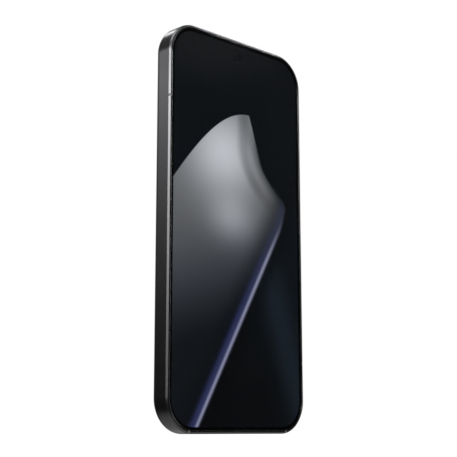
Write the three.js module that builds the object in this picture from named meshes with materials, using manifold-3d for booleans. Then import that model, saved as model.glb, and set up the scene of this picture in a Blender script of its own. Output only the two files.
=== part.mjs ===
// A slim smartphone with flat metal sides, a flat front glass and a rear cover with rounded edges.
// Units are millimetres. +Z is up along the height, the display faces -Y, and +X is the side of the keys.
// Depths are given as "front" and "back", the y of a piece's face towards the display and towards the rear.
import * as THREE from "three";
import { mergeVertices } from "three/addons/utils/BufferGeometryUtils.js";
import Module from "manifold-3d";

const wasm = await Module();
wasm.setup();

// ---------------------------------------------------------------- driving dimensions

// Body
const BODY_WIDTH = 71.2;
const BODY_HEIGHT = 152.3;
const BODY_DEPTH = 8.1;
const CORNER_RADIUS = 12.6;
const FRAME_WALL = 1.7;
const FRONT_CHAMFER = 0.6;
const RIM_WIDTH = 0.5;
const REAR_EDGE_RADIUS = 1.85;
const SEAM = 0.1; // open joint between the frame and the rear cover
const BOND = 0.05; // clearance between faces that are glued or laid on each other
const OVERRUN = 1; // how far a cutting tool runs past the face that it opens
const INNER_CLEARANCE = 0.5; // round a module that stands free inside the frame

// Layers behind the display
const GLASS_THICKNESS = 0.65;
const GLASS_PROUD = 0.1;
const GLASS_EDGE = 0.12;
const GASKET_THICKNESS = 0.15;
const GASKET_WIDTH = 0.95;
const PANEL_THICKNESS = 0.77;
const PANEL_INSET = 2.35; // body outline to the edge of the display panel
const SPREADER_THICKNESS = 0.13;
const SPREADER_RADIUS = 2;
const PLATE_THICKNESS = 0.6;
const REAR_GLASS_THICKNESS = 0.7;
const REAR_RIM_WIDTH = 1.1;
const GASKET_STEP = 0.2;

// Antenna breaks
const BREAK_WIDTH = 0.8;
const BREAK_FROM_TOP = 30;
const BREAK_RIGHT_FROM_TOP = 19;
const BREAK_RIGHT_FROM_BOTTOM = 27;
const BREAK_PAST_CORNER = 1.9; // bottom breaks from the end of the straight foot

// Front camera, earpiece and fingerprint sensor
const FRONT_CAMERA_FROM_TOP = 7;
const FRONT_CAMERA_BODY = 6.6;
const FRONT_CAMERA_DEPTH = 3.4;
const FRONT_LENS_RADIUS = 1.65;
const DISPLAY_HOLE_RADIUS = 2;
const EARPIECE_SLIT_LENGTH = 10;
const EARPIECE_SLIT_WIDTH = 0.3;
const EARPIECE_LENGTH = 12;
const EARPIECE_HEIGHT = 4.6;
const EARPIECE_DEPTH = 2.4;
const FINGERPRINT_SIDE = 9;
const FINGERPRINT_Z = 38;
const FINGERPRINT_DEPTH = 0.55;

// Rear cameras
const ISLAND_SIDE = 34.5;
const ISLAND_RADIUS = 9;
const ISLAND_INSET = 3.6; // body outline to the island's edge
const ISLAND_BUMP = 2.2;
const ISLAND_FLANGE_WIDTH = 1.2;
const ISLAND_FLANGE_THICKNESS = 0.25;
const ISLAND_CLEARANCE = 0.1;
const ISLAND_EDGE = 0.4;
const LENS_PITCH = 15.8;
const LENS_GLASS_RADIUS = 6.2;
const LENS_GLASS_THICKNESS = 0.6;
const LENS_BORE_RADIUS = 5.2;
const BARREL_RADIUS = 4.2;
const BARREL_LENGTH = 4.4;
const HOUSING_SIDE = 11.4;
const FLASH_RADIUS = 2.5;
const FOCUS_TRAVEL = 0.3;

// Keys
const KEY_WIDTH = 2.2;
const KEY_PROUD = 0.35;
const KEY_EDGE = 0.15;
const KEY_CLEARANCE = 0.1;
const KEY_TRAVEL = 0.25;
const KEY_BACKLASH = 0.35; // flange to the inside of the wall
const KEY_FLANGE = 0.4;
const KEY_FLANGE_MARGIN = 0.15; // flange beyond the cap, across the wall
const POWER_KEY_LENGTH = 10;
const POWER_KEY_Z = 92;
const VOLUME_KEY_LENGTH = 22;
const VOLUME_KEY_Z = 113;
const DOME_RADIUS = 1.3;
const DOME_HEIGHT = 0.35;
const DOME_OFFSET = 7; // each volume dome from the middle of its key
const KEY_FLEX_THICKNESS = 0.15;

// Boards and battery
const BOARD_ZONE = 51.8; // top of the body to the foot of the main board
const BOTTOM_ZONE = 30; // foot of the body to the battery
const BATTERY_GAP = 1.2; // between the battery and what lies below it
const BOARD_THICKNESS = 0.8;
const BOARD_STANDOFF = 0.8;
const SHIELD_HEIGHT = 1.15;
const SHIELD_RADIUS = 1;
const PROCESSOR_SIDES = [8, 7]; // from the board's left edge and from its notch
const PROCESSOR_ENDS = [11.5, 33.5]; // above the board's foot
const RADIO_SIDE = 4.5; // from the board's right edge
const RADIO_END = 2; // from the board's foot and from its notch
const BOSS_RADIUS = 1.5;
const BOSS_HEIGHT = 2.95;
const BOSS_FROM_SIDE = 4; // lower bosses from the board's edges
const BOSS_FROM_FOOT = 3.6;
const UPPER_BOSS_FROM_SIDE = 6.5;
const UPPER_BOSS_FROM_HEAD = 11;
const BOSS_BELOW_CAMERA = 8.5;
const SCREW_SHANK_RADIUS = 0.6;
const SCREW_SHANK_LENGTH = 2.4;
const SCREW_HEAD_RADIUS = 1.3;
const SCREW_HEAD_HEIGHT = 0.45;
const SCREW_CLEARANCE = 0.15;
const BRACKET_THICKNESS = 0.55;
const BATTERY_MARGIN = 0.7;
const BATTERY_EDGE = 0.4;
const BATTERY_RADIUS = 3;
const BATTERY_TO_BOARD = 3.3;
const BATTERY_FLEX_WIDTH = 6;
const BOARD_FLEX_WIDTH = 3.4;
const BOARD_FLEX_FOOT_INSET = 6.02; // right edge of the lower board to the middle of the flex foot
const FLEX_THICKNESS = 0.12;
const COIL_OUTER_RADIUS = 23;
const COIL_INNER_RADIUS = 11.5;
const COIL_THICKNESS = 0.4;
const COIL_GAP = 0.3;
const FERRITE_THICKNESS = 0.15;
const FERRITE_MARGIN = 1.5;
const CONNECTOR_HEIGHT = 0.7;
const CONNECTOR_LENGTH = 3;
const CONNECTOR_FROM_EDGE = 1; // connector to the edge of its board

// Display flex, which passes through a slot in the plate
const DISPLAY_FLEX_WIDTH = 12;
const DISPLAY_FLEX_SLOT = [20.5, 22.5];
const DISPLAY_FLEX_FOOT = 8;
const DISPLAY_FLEX_TOP = 27.5;

// Charging socket
const USB_OPENING = [8.34, 2.56];
const USB_SHELL_WALL = 0.3;
const USB_LENGTH = 7.8;
const USB_TONGUE = [6.7, 0.7, 5.6];
const USB_TONGUE_FOOT = 1.2;
const USB_CUT_CLEARANCE = 0.15;
const PORT_RECESS = 0.05;

// Card tray and its ejector
const TRAY_FROM_BREAK = 1.3;
const TRAY_FACE = [13.6, 1.9, 1.1];
const TRAY_CLEARANCE = 0.15;
const TRAY_BODY = [10.4, 1.1, 16.15];
const TRAY_BODY_OFFSET = 0.7; // body towards the middle of the phone from the face's centre
const CARD = [8.8, 0.67, 12.3];
const CARD_CLEARANCE = 0.1;
const CARD_RADIUS = 0.8;
const CARD_RAIL = 1.2; // tray between its face and the card
const CAGE_WALL = 0.2;
const CAGE_END = 15.6;
const CAGE_TAB_WIDTH = 3.2;
const EJECT_ROD_RADIUS = 0.35;
const PINHOLE_RADIUS = 0.45;
const PINHOLE_OFFSET = 5.7; // from the face's centre, away from the middle of the phone
const ROD_ARM = 3.9;
const TRAY_ARM = 4.6;
const LEVER_BAR = 1.2;
const LEVER_DROP = 1.7; // from the pivot to the end of the nub that pushes the tray
const LEVER_NUB = 1.4;
const LEVER_HUB_RADIUS = 1.3;
const LEVER_PIN_RADIUS = 0.5;
const LEVER_PIN_CLEARANCE = 0.08;
const LEVER_GAP = 0.1;
const LEVER_FREE_PLAY = 0.7;

// Loudspeaker, microphones and haptic motor
const SPEAKER_FROM_SOCKET = 3.75;
const SPEAKER_HOLE_RADIUS = 0.65;
const SPEAKER_HOLE_PITCH = 2.3;
const SPEAKER_HEIGHT = 24.5;
const SPEAKER_WALL = 2.6;
const SPEAKER_WELL_RADIUS = 4;
const SPEAKER_MESH_MARGIN = 0.5;
const DIAPHRAGM_THICKNESS = 0.4;
const DIAPHRAGM_CLEARANCE = 0.6;
const MESH_THICKNESS = 0.2;
const MICROPHONE_RADIUS = 0.45;
const MICROPHONE_BOTTOM_X = -7;
const MICROPHONE_TOP_X = 12;
const HAPTIC_HEIGHT = 17.2;
const HAPTIC_WALL = 0.4;
const HAPTIC_TRAVEL = 0.35;

// Fineness of the round shapes
const ARC_STEPS = 5; // half the sides of each quarter arc of the body and the island
const SMALL_ARC_STEPS = 2; // the same for small pieces
const REAR_EDGE_STEPS = 4;
const ROUND_STEPS = 28;
const SMALL_ROUND_STEPS = 14;

// ---------------------------------------------------------------- places worked out from the dimensions

const halfWidth = BODY_WIDTH / 2;
const innerX = halfWidth - FRAME_WALL;
const glassFront = -GLASS_PROUD;
const glassBack = glassFront + GLASS_THICKNESS;
const ledge = glassBack + GASKET_THICKNESS + 2 * BOND;
const panelFront = glassBack + BOND;
const panelBack = panelFront + PANEL_THICKNESS;
const spreaderFront = panelBack + BOND;
const spreaderBack = spreaderFront + SPREADER_THICKNESS;
const plateFront = spreaderBack + BOND;
const plateBack = plateFront + PLATE_THICKNESS;
const moduleFront = plateBack + 3 * BOND;
const coverRim = BODY_DEPTH - REAR_EDGE_RADIUS;
const frameBack = coverRim - SEAM;
const coverInner = BODY_DEPTH - REAR_GLASS_THICKNESS;
const glassInset = FRONT_CHAMFER + RIM_WIDTH;
const moduleInset = FRAME_WALL + INNER_CLEARANCE;

const coilBack = coverInner - COIL_GAP;
const coilFront = coilBack - COIL_THICKNESS;
const ferriteFront = coilFront - BOND - FERRITE_THICKNESS;
const flexBack = ferriteFront - BOND;
const flexFront = flexBack - FLEX_THICKNESS;
const batteryBack = flexFront - 2 * BOND;

const boardFront = plateBack + BOARD_STANDOFF;
const boardBack = boardFront + BOARD_THICKNESS;
const boardFoot = BODY_HEIGHT - BOARD_ZONE;
const boardLeft = -innerX + INNER_CLEARANCE;
const batteryTop = boardFoot - BATTERY_TO_BOARD;

const keyX = halfWidth + KEY_PROUD;
const flangeOuter = innerX - KEY_BACKLASH;
const flangeInner = flangeOuter - KEY_FLANGE;
const domeOuter = flangeInner - KEY_TRAVEL - BOND;
const domeInner = domeOuter - DOME_HEIGHT;
const keyFlexOuter = domeInner - BOND;
const keyFlexInner = keyFlexOuter - KEY_FLEX_THICKNESS;
const keyDepth = moduleFront + KEY_WIDTH / 2 + KEY_FLANGE_MARGIN;
const boardRight = keyFlexInner - INNER_CLEARANCE;

const islandX = halfWidth - ISLAND_INSET - ISLAND_SIDE / 2;
const islandZ = BODY_HEIGHT - ISLAND_INSET - ISLAND_SIDE / 2;
const islandBack = BODY_DEPTH + ISLAND_BUMP;
const flangeBack = coverInner - 2 * BOND;
const flangeFront = flangeBack - ISLAND_FLANGE_THICKNESS;
const lensGlassBack = islandBack - 2 * BOND;
const lensGlassFront = lensGlassBack - LENS_GLASS_THICKNESS;
const lensSeat = lensGlassFront - 2 * BOND;
const housingBack = flangeFront - 2 * BOND;
const barrelBack = lensSeat - FOCUS_TRAVEL - BOND;
const barrelFront = barrelBack - BARREL_LENGTH;
const LENSES = {
  main: [islandX + LENS_PITCH / 2, islandZ + LENS_PITCH / 2],
  tele: [islandX + LENS_PITCH / 2, islandZ - LENS_PITCH / 2],
  wide: [islandX - LENS_PITCH / 2, islandZ - LENS_PITCH / 2],
};
const flashPlace = [islandX - LENS_PITCH / 2, islandZ + LENS_PITCH / 2];
const boardNotchX = islandX - LENS_PITCH / 2 - HOUSING_SIDE / 2 - 3 * INNER_CLEARANCE;
const boardNotchZ = islandZ - LENS_PITCH / 2 - HOUSING_SIDE / 2 - 2 * INNER_CLEARANCE;

const frontCameraZ = BODY_HEIGHT - FRONT_CAMERA_FROM_TOP;
const frontCameraFront = spreaderFront + BOND;
const frontCameraBack = frontCameraFront + FRONT_CAMERA_DEPTH;

const bosses = [
  [boardLeft + BOSS_FROM_SIDE, boardFoot + BOSS_FROM_FOOT],
  [boardNotchX - BOSS_FROM_SIDE, boardFoot + BOSS_FROM_FOOT],
  [boardLeft + UPPER_BOSS_FROM_SIDE, BODY_HEIGHT - UPPER_BOSS_FROM_HEAD],
  [boardNotchX - BOSS_FROM_SIDE, frontCameraZ - BOSS_BELOW_CAMERA],
];
const bossBack = plateBack + BOSS_HEIGHT;
const bracketFront = bossBack + 2 * BOND;
const bracketBack = bracketFront + BRACKET_THICKNESS;

const usbOuter = USB_OPENING.map((size) => size + 2 * USB_SHELL_WALL);
const usbCut = usbOuter.map((size) => size + 2 * USB_CUT_CLEARANCE);
const portDepth = moduleFront + usbOuter[1] / 2; // y of the socket, the speaker holes and the card tray
const bottomBreakX = halfWidth - CORNER_RADIUS + BREAK_PAST_CORNER;
const trayX = -(bottomBreakX - BREAK_WIDTH / 2 - TRAY_FROM_BREAK - TRAY_FACE[0] / 2);
const trayBodyX = trayX + TRAY_BODY_OFFSET;
const rodX = trayX - PINHOLE_OFFSET;
const leverPivot = [rodX + ROD_ARM, PORT_RECESS + TRAY_BODY[2] + LEVER_FREE_PLAY + LEVER_DROP];
const cageX = TRAY_BODY[0] / 2 + TRAY_CLEARANCE;
const cageY = TRAY_BODY[1] / 2 + TRAY_CLEARANCE;
const cageRight = trayBodyX + cageX + CAGE_WALL;
const speakerLeft = usbCut[0] / 2 + SPEAKER_FROM_SOCKET;
const speakerFoot = FRAME_WALL + MESH_THICKNESS + 2 * INNER_CLEARANCE;
const subBoardLeft = cageRight + INNER_CLEARANCE;
const subBoardRight = speakerLeft - INNER_CLEARANCE;
const boardFlexX = boardNotchX + INNER_CLEARANCE + BOARD_FLEX_WIDTH / 2;
const boardFlexFootX = subBoardRight - BOARD_FLEX_FOOT_INSET;

// ---------------------------------------------------------------- materials

const FINISHES = {
  darkMetal: { color: 0x3c3d40, roughness: 0.35, metalness: 0.9 },
  insulator: { color: 0x4a4b4d, roughness: 0.5, metalness: 0 },
  glass: { color: 0x0a0b0d, roughness: 0.05, metalness: 0 },
  display: { color: 0x20222c, roughness: 0.2, metalness: 0 },
  rearGlass: { color: 0x1b1c1f, roughness: 0.3, metalness: 0 },
  lens: { color: 0x0c1018, roughness: 0.03, metalness: 0 },
  flash: { color: 0xe8e4d2, roughness: 0.25, metalness: 0 },
  adhesive: { color: 0x141414, roughness: 0.8, metalness: 0 },
  board: { color: 0x12382a, roughness: 0.55, metalness: 0 },
  shield: { color: 0xb9bcbf, roughness: 0.35, metalness: 1 },
  steel: { color: 0x9a9c9f, roughness: 0.3, metalness: 1 },
  plastic: { color: 0x1a1b1d, roughness: 0.6, metalness: 0 },
  flex: { color: 0x9a5a1c, roughness: 0.45, metalness: 0 },
  graphite: { color: 0x2c2d2f, roughness: 0.6, metalness: 0.2 },
  battery: { color: 0x2a2b2e, roughness: 0.5, metalness: 0 },
  copper: { color: 0xb4672f, roughness: 0.35, metalness: 1 },
  card: { color: 0xd8d9da, roughness: 0.5, metalness: 0 },
};

// ---------------------------------------------------------------- shapes and solids

/** The closed geometry as a solid that can be joined and cut. */
function solid(geometry) {
  geometry.deleteAttribute("normal");
  geometry.deleteAttribute("uv");
  const merged = mergeVertices(geometry, 1e-4);
  const mesh = new wasm.Mesh({
    numProp: 3,
    vertProperties: merged.attributes.position.array,
    triVerts: new Uint32Array(merged.index.array),
  });
  return new wasm.Manifold(mesh);
}

/** A rectangle with round corners in the plane of the display, or any other plane. */
function roundedRectangle(x0, x1, y0, y1, radius) {
  const shape = new THREE.Shape();
  const quarter = Math.PI / 2;
  shape.moveTo(x0 + radius, y0);
  shape.lineTo(x1 - radius, y0);
  shape.absarc(x1 - radius, y0 + radius, radius, -quarter, 0, false);
  shape.lineTo(x1, y1 - radius);
  shape.absarc(x1 - radius, y1 - radius, radius, 0, quarter, false);
  shape.lineTo(x0 + radius, y1);
  shape.absarc(x0 + radius, y1 - radius, radius, quarter, 2 * quarter, false);
  shape.lineTo(x0, y0 + radius);
  shape.absarc(x0 + radius, y0 + radius, radius, 2 * quarter, 3 * quarter, false);
  return shape;
}

/** The body's outline moved inwards all round. */
function bodyOutline(inset) {
  const x = halfWidth - inset;
  return roundedRectangle(-x, x, inset, BODY_HEIGHT - inset, CORNER_RADIUS - inset);
}

/** A shape in the display's plane made into a slab between two depths, with both its edges bevelled. */
function slab(shape, front, back, { bevel = 0, bevelSegments = 1, steps = SMALL_ARC_STEPS } = {}) {
  const geometry = new THREE.ExtrudeGeometry(shape, {
    depth: back - front - 2 * bevel,
    curveSegments: steps,
    bevelEnabled: bevel > 0,
    bevelThickness: bevel,
    bevelSize: bevel,
    bevelOffset: -bevel,
    bevelSegments,
  });
  geometry.rotateX(Math.PI / 2);
  geometry.translate(0, back - bevel, 0);
  return solid(geometry);
}

/** A box between two corners. */
function block([x0, x1], [y0, y1], [z0, z1]) {
  const geometry = new THREE.BoxGeometry(x1 - x0, y1 - y0, z1 - z0);
  geometry.translate((x0 + x1) / 2, (y0 + y1) / 2, (z0 + z1) / 2);
  return solid(geometry);
}

/** A range of the given size round its middle. */
function about(middle, size) {
  return [middle - size / 2, middle + size / 2];
}

/** A cylinder whose axis runs front to back. */
function disc([x, z], radius, front, back, steps = ROUND_STEPS) {
  const geometry = new THREE.CylinderGeometry(radius, radius, back - front, steps);
  geometry.translate(x, (front + back) / 2, z);
  return solid(geometry);
}

/** A cylinder whose axis runs up the phone. */
function upright(x, y, radius, z0, z1, steps = SMALL_ROUND_STEPS) {
  const geometry = new THREE.CylinderGeometry(radius, radius, z1 - z0, steps);
  geometry.rotateX(Math.PI / 2);
  geometry.translate(x, y, (z0 + z1) / 2);
  return solid(geometry);
}

/** A bar with round ends, as wide as size[0] and as deep as size[1], running up the phone. */
function uprightPill(x, y, [width, depth], z0, z1) {
  const shape = roundedRectangle(...about(x, width), ...about(y, depth), depth / 2);
  const geometry = new THREE.ExtrudeGeometry(shape, {
    depth: z1 - z0,
    curveSegments: SMALL_ARC_STEPS,
    bevelEnabled: false,
  });
  geometry.translate(0, 0, z0);
  return solid(geometry);
}

/** A bar with round ends that runs across the side wall, long along z. */
function sidePill(y, z, [depth, length], x0, x1, bevel = 0) {
  const shape = roundedRectangle(...about(-z, length), ...about(y, depth), depth / 2);
  const geometry = new THREE.ExtrudeGeometry(shape, {
    depth: x1 - x0 - 2 * bevel,
    curveSegments: SMALL_ARC_STEPS,
    bevelEnabled: bevel > 0,
    bevelThickness: bevel,
    bevelSize: bevel,
    bevelOffset: -bevel,
    bevelSegments: 1,
  });
  geometry.rotateY(Math.PI / 2);
  geometry.translate(x0 + bevel, 0, 0);
  return solid(geometry);
}

/** The solids joined into one. */
function join(...solids) {
  return solids.reduce((whole, piece) => whole.add(piece));
}

/** The first solid with all the others cut out of it. */
function cut(whole, ...tools) {
  return tools.reduce((rest, tool) => rest.subtract(tool), whole);
}

/** The room between two depths inside the frame, a given distance in from the body's outline. */
function room(inset, front, back) {
  return slab(bodyOutline(inset), front, back, { steps: ARC_STEPS });
}

const group = new THREE.Group();

/** Adds a solid to the phone as a named mesh with its finish. */
function addNode(name, finish, made) {
  const { vertProperties, triVerts } = made.getMesh();
  const indexed = new THREE.BufferGeometry();
  indexed.setAttribute("position", new THREE.BufferAttribute(vertProperties, 3));
  indexed.setIndex(new THREE.BufferAttribute(triVerts, 1));
  const geometry = indexed.toNonIndexed();
  geometry.computeVertexNormals();
  const mesh = new THREE.Mesh(geometry, new THREE.MeshStandardMaterial(FINISHES[finish]));
  mesh.name = name;
  group.add(mesh);
}

// ---------------------------------------------------------------- frame

/** The frame before its openings: chamfered band, ledge for the glass, plate and rear compartment. */
function frameBlank() {
  const band = slab(bodyOutline(0), 0, frameBack + FRONT_CHAMFER, { bevel: FRONT_CHAMFER, steps: ARC_STEPS });
  return cut(
    band,
    block([-BODY_WIDTH, BODY_WIDTH], [frameBack, BODY_DEPTH], widened([0, BODY_HEIGHT], OVERRUN)),
    room(glassInset, -OVERRUN, ledge),
    room(PANEL_INSET - 2 * BOND, 0, plateFront),
    room(FRAME_WALL, plateBack, BODY_DEPTH),
    room(RIM_WIDTH, frameBack - GASKET_STEP, BODY_DEPTH),
  );
}

/** Where each antenna break crosses the band: its name and the box that holds it. */
function antennaBreaks() {
  const depths = [-OVERRUN, BODY_DEPTH];
  const left = [-halfWidth - OVERRUN, -innerX];
  const right = [innerX, halfWidth + OVERRUN];
  const foot = [-OVERRUN, FRAME_WALL];
  return [
    ["antenna_break_left", left, depths, about(BODY_HEIGHT - BREAK_FROM_TOP, BREAK_WIDTH)],
    ["antenna_break_right_upper", right, depths, about(BODY_HEIGHT - BREAK_RIGHT_FROM_TOP, BREAK_WIDTH)],
    ["antenna_break_right_lower", right, depths, about(BREAK_RIGHT_FROM_BOTTOM, BREAK_WIDTH)],
    ["antenna_break_bottom_left", about(-bottomBreakX, BREAK_WIDTH), depths, foot],
    ["antenna_break_bottom_right", about(bottomBreakX, BREAK_WIDTH), depths, foot],
  ];
}

/** A range made longer at both ends. */
function widened([low, high], extra) {
  return [low - extra, high + extra];
}

/** The outline of a key's slot through the right wall. */
function keySlot(z, length) {
  const size = [KEY_WIDTH + 2 * KEY_CLEARANCE, length + 2 * KEY_CLEARANCE];
  return sidePill(keyDepth, z, size, innerX - OVERRUN, halfWidth + OVERRUN);
}

/** The x of each speaker hole: as many as fit between the socket's side and the break. */
function speakerHoles() {
  const first = speakerLeft + 2 * SPEAKER_HOLE_RADIUS;
  const last = bottomBreakX - BREAK_WIDTH / 2 - 3 * SPEAKER_HOLE_RADIUS;
  const count = 1 + Math.floor((last - first) / SPEAKER_HOLE_PITCH);
  return Array.from({ length: count }, (_, index) => first + index * SPEAKER_HOLE_PITCH);
}

function midFrame() {
  const earX = about(0, EARPIECE_SLIT_LENGTH);
  const earTop = BODY_HEIGHT - glassInset + EARPIECE_SLIT_WIDTH;
  const cameraWindow = about(0, FRONT_CAMERA_BODY + INNER_CLEARANCE);
  const sensor = about(0, FINGERPRINT_SIDE + INNER_CLEARANCE);
  const flexSlot = about(0, DISPLAY_FLEX_WIDTH + 2 * INNER_CLEARANCE);
  const traySlot = TRAY_FACE.slice(0, 2).map((size) => size + 2 * TRAY_CLEARANCE);
  const footWall = widened([0, FRAME_WALL], OVERRUN);
  const headWall = widened([BODY_HEIGHT - FRAME_WALL, BODY_HEIGHT], OVERRUN);
  const tools = [
    ...antennaBreaks().map(([, x, y, z]) => block(widened(x, BOND), y, widened(z, BOND))),
    keySlot(POWER_KEY_Z, POWER_KEY_LENGTH),
    keySlot(VOLUME_KEY_Z, VOLUME_KEY_LENGTH),
    block(earX, [-OVERRUN, plateBack], [BODY_HEIGHT - glassInset - OVERRUN, earTop]),
    block(earX, [ledge, plateBack + OVERRUN], [headWall[0], earTop - EARPIECE_SLIT_WIDTH]),
    block(cameraWindow, [0, plateBack + OVERRUN], about(frontCameraZ, FRONT_CAMERA_BODY + INNER_CLEARANCE)),
    block(sensor, [0, plateBack + OVERRUN], about(FINGERPRINT_Z, FINGERPRINT_SIDE + INNER_CLEARANCE)),
    block(flexSlot, [0, plateBack + OVERRUN], widened(DISPLAY_FLEX_SLOT, INNER_CLEARANCE)),
    uprightPill(0, portDepth, usbCut, ...footWall),
    uprightPill(trayX, portDepth, traySlot, ...footWall),
    upright(MICROPHONE_BOTTOM_X, portDepth, MICROPHONE_RADIUS, ...footWall),
    upright(MICROPHONE_TOP_X, portDepth, MICROPHONE_RADIUS, ...headWall),
  ];
  for (const x of speakerHoles()) {
    tools.push(upright(x, portDepth, SPEAKER_HOLE_RADIUS, ...footWall));
  }
  const posts = bosses.map((place) => disc(place, BOSS_RADIUS, plateFront + BOND, bossBack, SMALL_ROUND_STEPS));
  const threads = bosses.map((place) =>
    disc(place, SCREW_SHANK_RADIUS + SCREW_CLEARANCE, plateBack, bossBack + OVERRUN, SMALL_ROUND_STEPS),
  );
  addNode("mid_frame", "darkMetal", cut(join(cut(frameBlank(), ...tools), ...posts), ...threads));
}

function antennaInserts() {
  for (const [name, x, y, z] of antennaBreaks()) {
    addNode(name, "insulator", frameBlank().intersect(block(x, y, z)));
  }
}

// ---------------------------------------------------------------- front

function coverGlass() {
  const edge = { bevel: GLASS_EDGE, steps: ARC_STEPS };
  const made = slab(bodyOutline(glassInset + BOND), glassFront, glassBack, edge);
  addNode("cover_glass", "glass", made);
}

function frontGasket() {
  const inset = glassInset + 3 * BOND;
  const front = glassBack + BOND;
  const back = front + GASKET_THICKNESS;
  const ring = cut(room(inset, front, back), room(inset + GASKET_WIDTH, front - OVERRUN, back + OVERRUN));
  addNode("front_gasket", "adhesive", ring);
}

function displayPanel() {
  const hole = disc([0, frontCameraZ], DISPLAY_HOLE_RADIUS, 0, plateFront);
  addNode("display_panel", "display", cut(room(PANEL_INSET, panelFront, panelBack), hole));
}

function displayFlex() {
  const x = about(0, DISPLAY_FLEX_WIDTH);
  const [slotLow, slotHigh] = DISPLAY_FLEX_SLOT;
  const rearFront = plateBack + 2 * BOND;
  const plugEnds = [DISPLAY_FLEX_TOP - CONNECTOR_LENGTH, DISPLAY_FLEX_TOP];
  const made = join(
    block(x, [spreaderFront, spreaderFront + FLEX_THICKNESS], [DISPLAY_FLEX_FOOT, slotHigh]),
    block(x, [spreaderFront, rearFront + FLEX_THICKNESS], [slotHigh - FLEX_THICKNESS, slotHigh]),
    block(x, [rearFront, rearFront + FLEX_THICKNESS], [slotLow, DISPLAY_FLEX_TOP]),
    block(x, [rearFront, rearFront + CONNECTOR_HEIGHT], plugEnds),
  );
  addNode("display_flex", "flex", made);
}

function heatSpreader() {
  const foot = DISPLAY_FLEX_SLOT[1] + INNER_CLEARANCE;
  const head = frontCameraZ - FRONT_CAMERA_BODY / 2 - INNER_CLEARANCE;
  const x = halfWidth - PANEL_INSET - 2 * INNER_CLEARANCE;
  const sheet = slab(roundedRectangle(-x, x, foot, head, SPREADER_RADIUS), spreaderFront, spreaderBack);
  const window = about(0, FINGERPRINT_SIDE + INNER_CLEARANCE);
  const sensorZ = about(FINGERPRINT_Z, FINGERPRINT_SIDE + INNER_CLEARANCE);
  addNode("heat_spreader", "graphite", cut(sheet, block(window, [0, plateFront], sensorZ)));
}

function fingerprintSensor() {
  const [x0, x1] = about(0, FINGERPRINT_SIDE);
  const shape = roundedRectangle(x0, x1, ...about(FINGERPRINT_Z, FINGERPRINT_SIDE), SHIELD_RADIUS);
  addNode("fingerprint_sensor", "plastic", slab(shape, spreaderFront, spreaderFront + FINGERPRINT_DEPTH));
}

function frontCamera() {
  const side = about(0, FRONT_CAMERA_BODY);
  const body = block(side, [frontCameraFront, frontCameraBack], about(frontCameraZ, FRONT_CAMERA_BODY));
  const nose = disc([0, frontCameraZ], FRONT_LENS_RADIUS, panelFront + BOND, frontCameraBack - OVERRUN);
  addNode("front_camera", "plastic", join(body, nose));
}

function earpiece() {
  const x0 = FRONT_CAMERA_BODY / 2 + 2 * INNER_CLEARANCE;
  const z1 = BODY_HEIGHT - FRAME_WALL - BOND * 4;
  const shape = roundedRectangle(x0, x0 + EARPIECE_LENGTH, z1 - EARPIECE_HEIGHT, z1, SHIELD_RADIUS);
  addNode("earpiece", "plastic", slab(shape, moduleFront, moduleFront + EARPIECE_DEPTH));
  const slitFoot = BODY_HEIGHT - glassInset;
  const meshX = about(0, EARPIECE_SLIT_LENGTH - 2 * BOND);
  const meshZ = about(slitFoot + EARPIECE_SLIT_WIDTH / 2, EARPIECE_SLIT_WIDTH - 2 * BOND);
  addNode("earpiece_mesh", "steel", block(meshX, [MESH_THICKNESS, ledge - BOND], meshZ));
}

// ---------------------------------------------------------------- rear

function rearCover() {
  const edge = { bevel: REAR_EDGE_RADIUS, bevelSegments: REAR_EDGE_STEPS, steps: ARC_STEPS };
  const outer = slab(bodyOutline(0), 0, BODY_DEPTH, edge);
  const opening = slab(islandOutline(-ISLAND_CLEARANCE), 0, BODY_DEPTH + OVERRUN, { steps: ARC_STEPS });
  const front = block([-BODY_WIDTH, BODY_WIDTH], [-OVERRUN, coverRim], widened([0, BODY_HEIGHT], OVERRUN));
  const shoulder = (coverRim + coverInner) / 2;
  const made = cut(
    outer,
    front,
    room(REAR_RIM_WIDTH, 0, shoulder),
    room(REAR_RIM_WIDTH + REAR_GLASS_THICKNESS, 0, coverInner),
    opening,
  );
  addNode("rear_cover", "rearGlass", made);
}

function rearGasket() {
  const inset = RIM_WIDTH + 2 * BOND;
  const front = frameBack - GASKET_STEP + BOND;
  const back = coverRim - BOND;
  const ring = cut(room(inset, front, back), room(FRAME_WALL - BOND, 0, BODY_DEPTH));
  addNode("rear_gasket", "adhesive", ring);
}

/** The camera island's outline moved inwards all round. */
function islandOutline(inset) {
  const size = ISLAND_SIDE - 2 * inset;
  return roundedRectangle(...about(islandX, size), ...about(islandZ, size), ISLAND_RADIUS - inset);
}

function cameraIsland() {
  const edge = { bevel: ISLAND_EDGE, steps: ARC_STEPS };
  const plate = slab(islandOutline(0), flangeFront, islandBack, edge);
  const flange = slab(islandOutline(-ISLAND_FLANGE_WIDTH), flangeFront, flangeBack, { steps: ARC_STEPS });
  const bores = Object.values(LENSES).flatMap((place) => [
    disc(place, LENS_BORE_RADIUS, 0, islandBack),
    disc(place, LENS_GLASS_RADIUS + 2 * BOND, lensSeat, islandBack + OVERRUN),
  ]);
  const flash = [
    disc(flashPlace, FLASH_RADIUS - INNER_CLEARANCE, 0, islandBack),
    disc(flashPlace, FLASH_RADIUS + 2 * BOND, lensSeat, islandBack + OVERRUN),
  ];
  addNode("camera_island", "darkMetal", cut(join(plate, flange), ...bores, ...flash));
  addNode("flash_lens", "flash", disc(flashPlace, FLASH_RADIUS, lensGlassFront, lensGlassBack));
}

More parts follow.
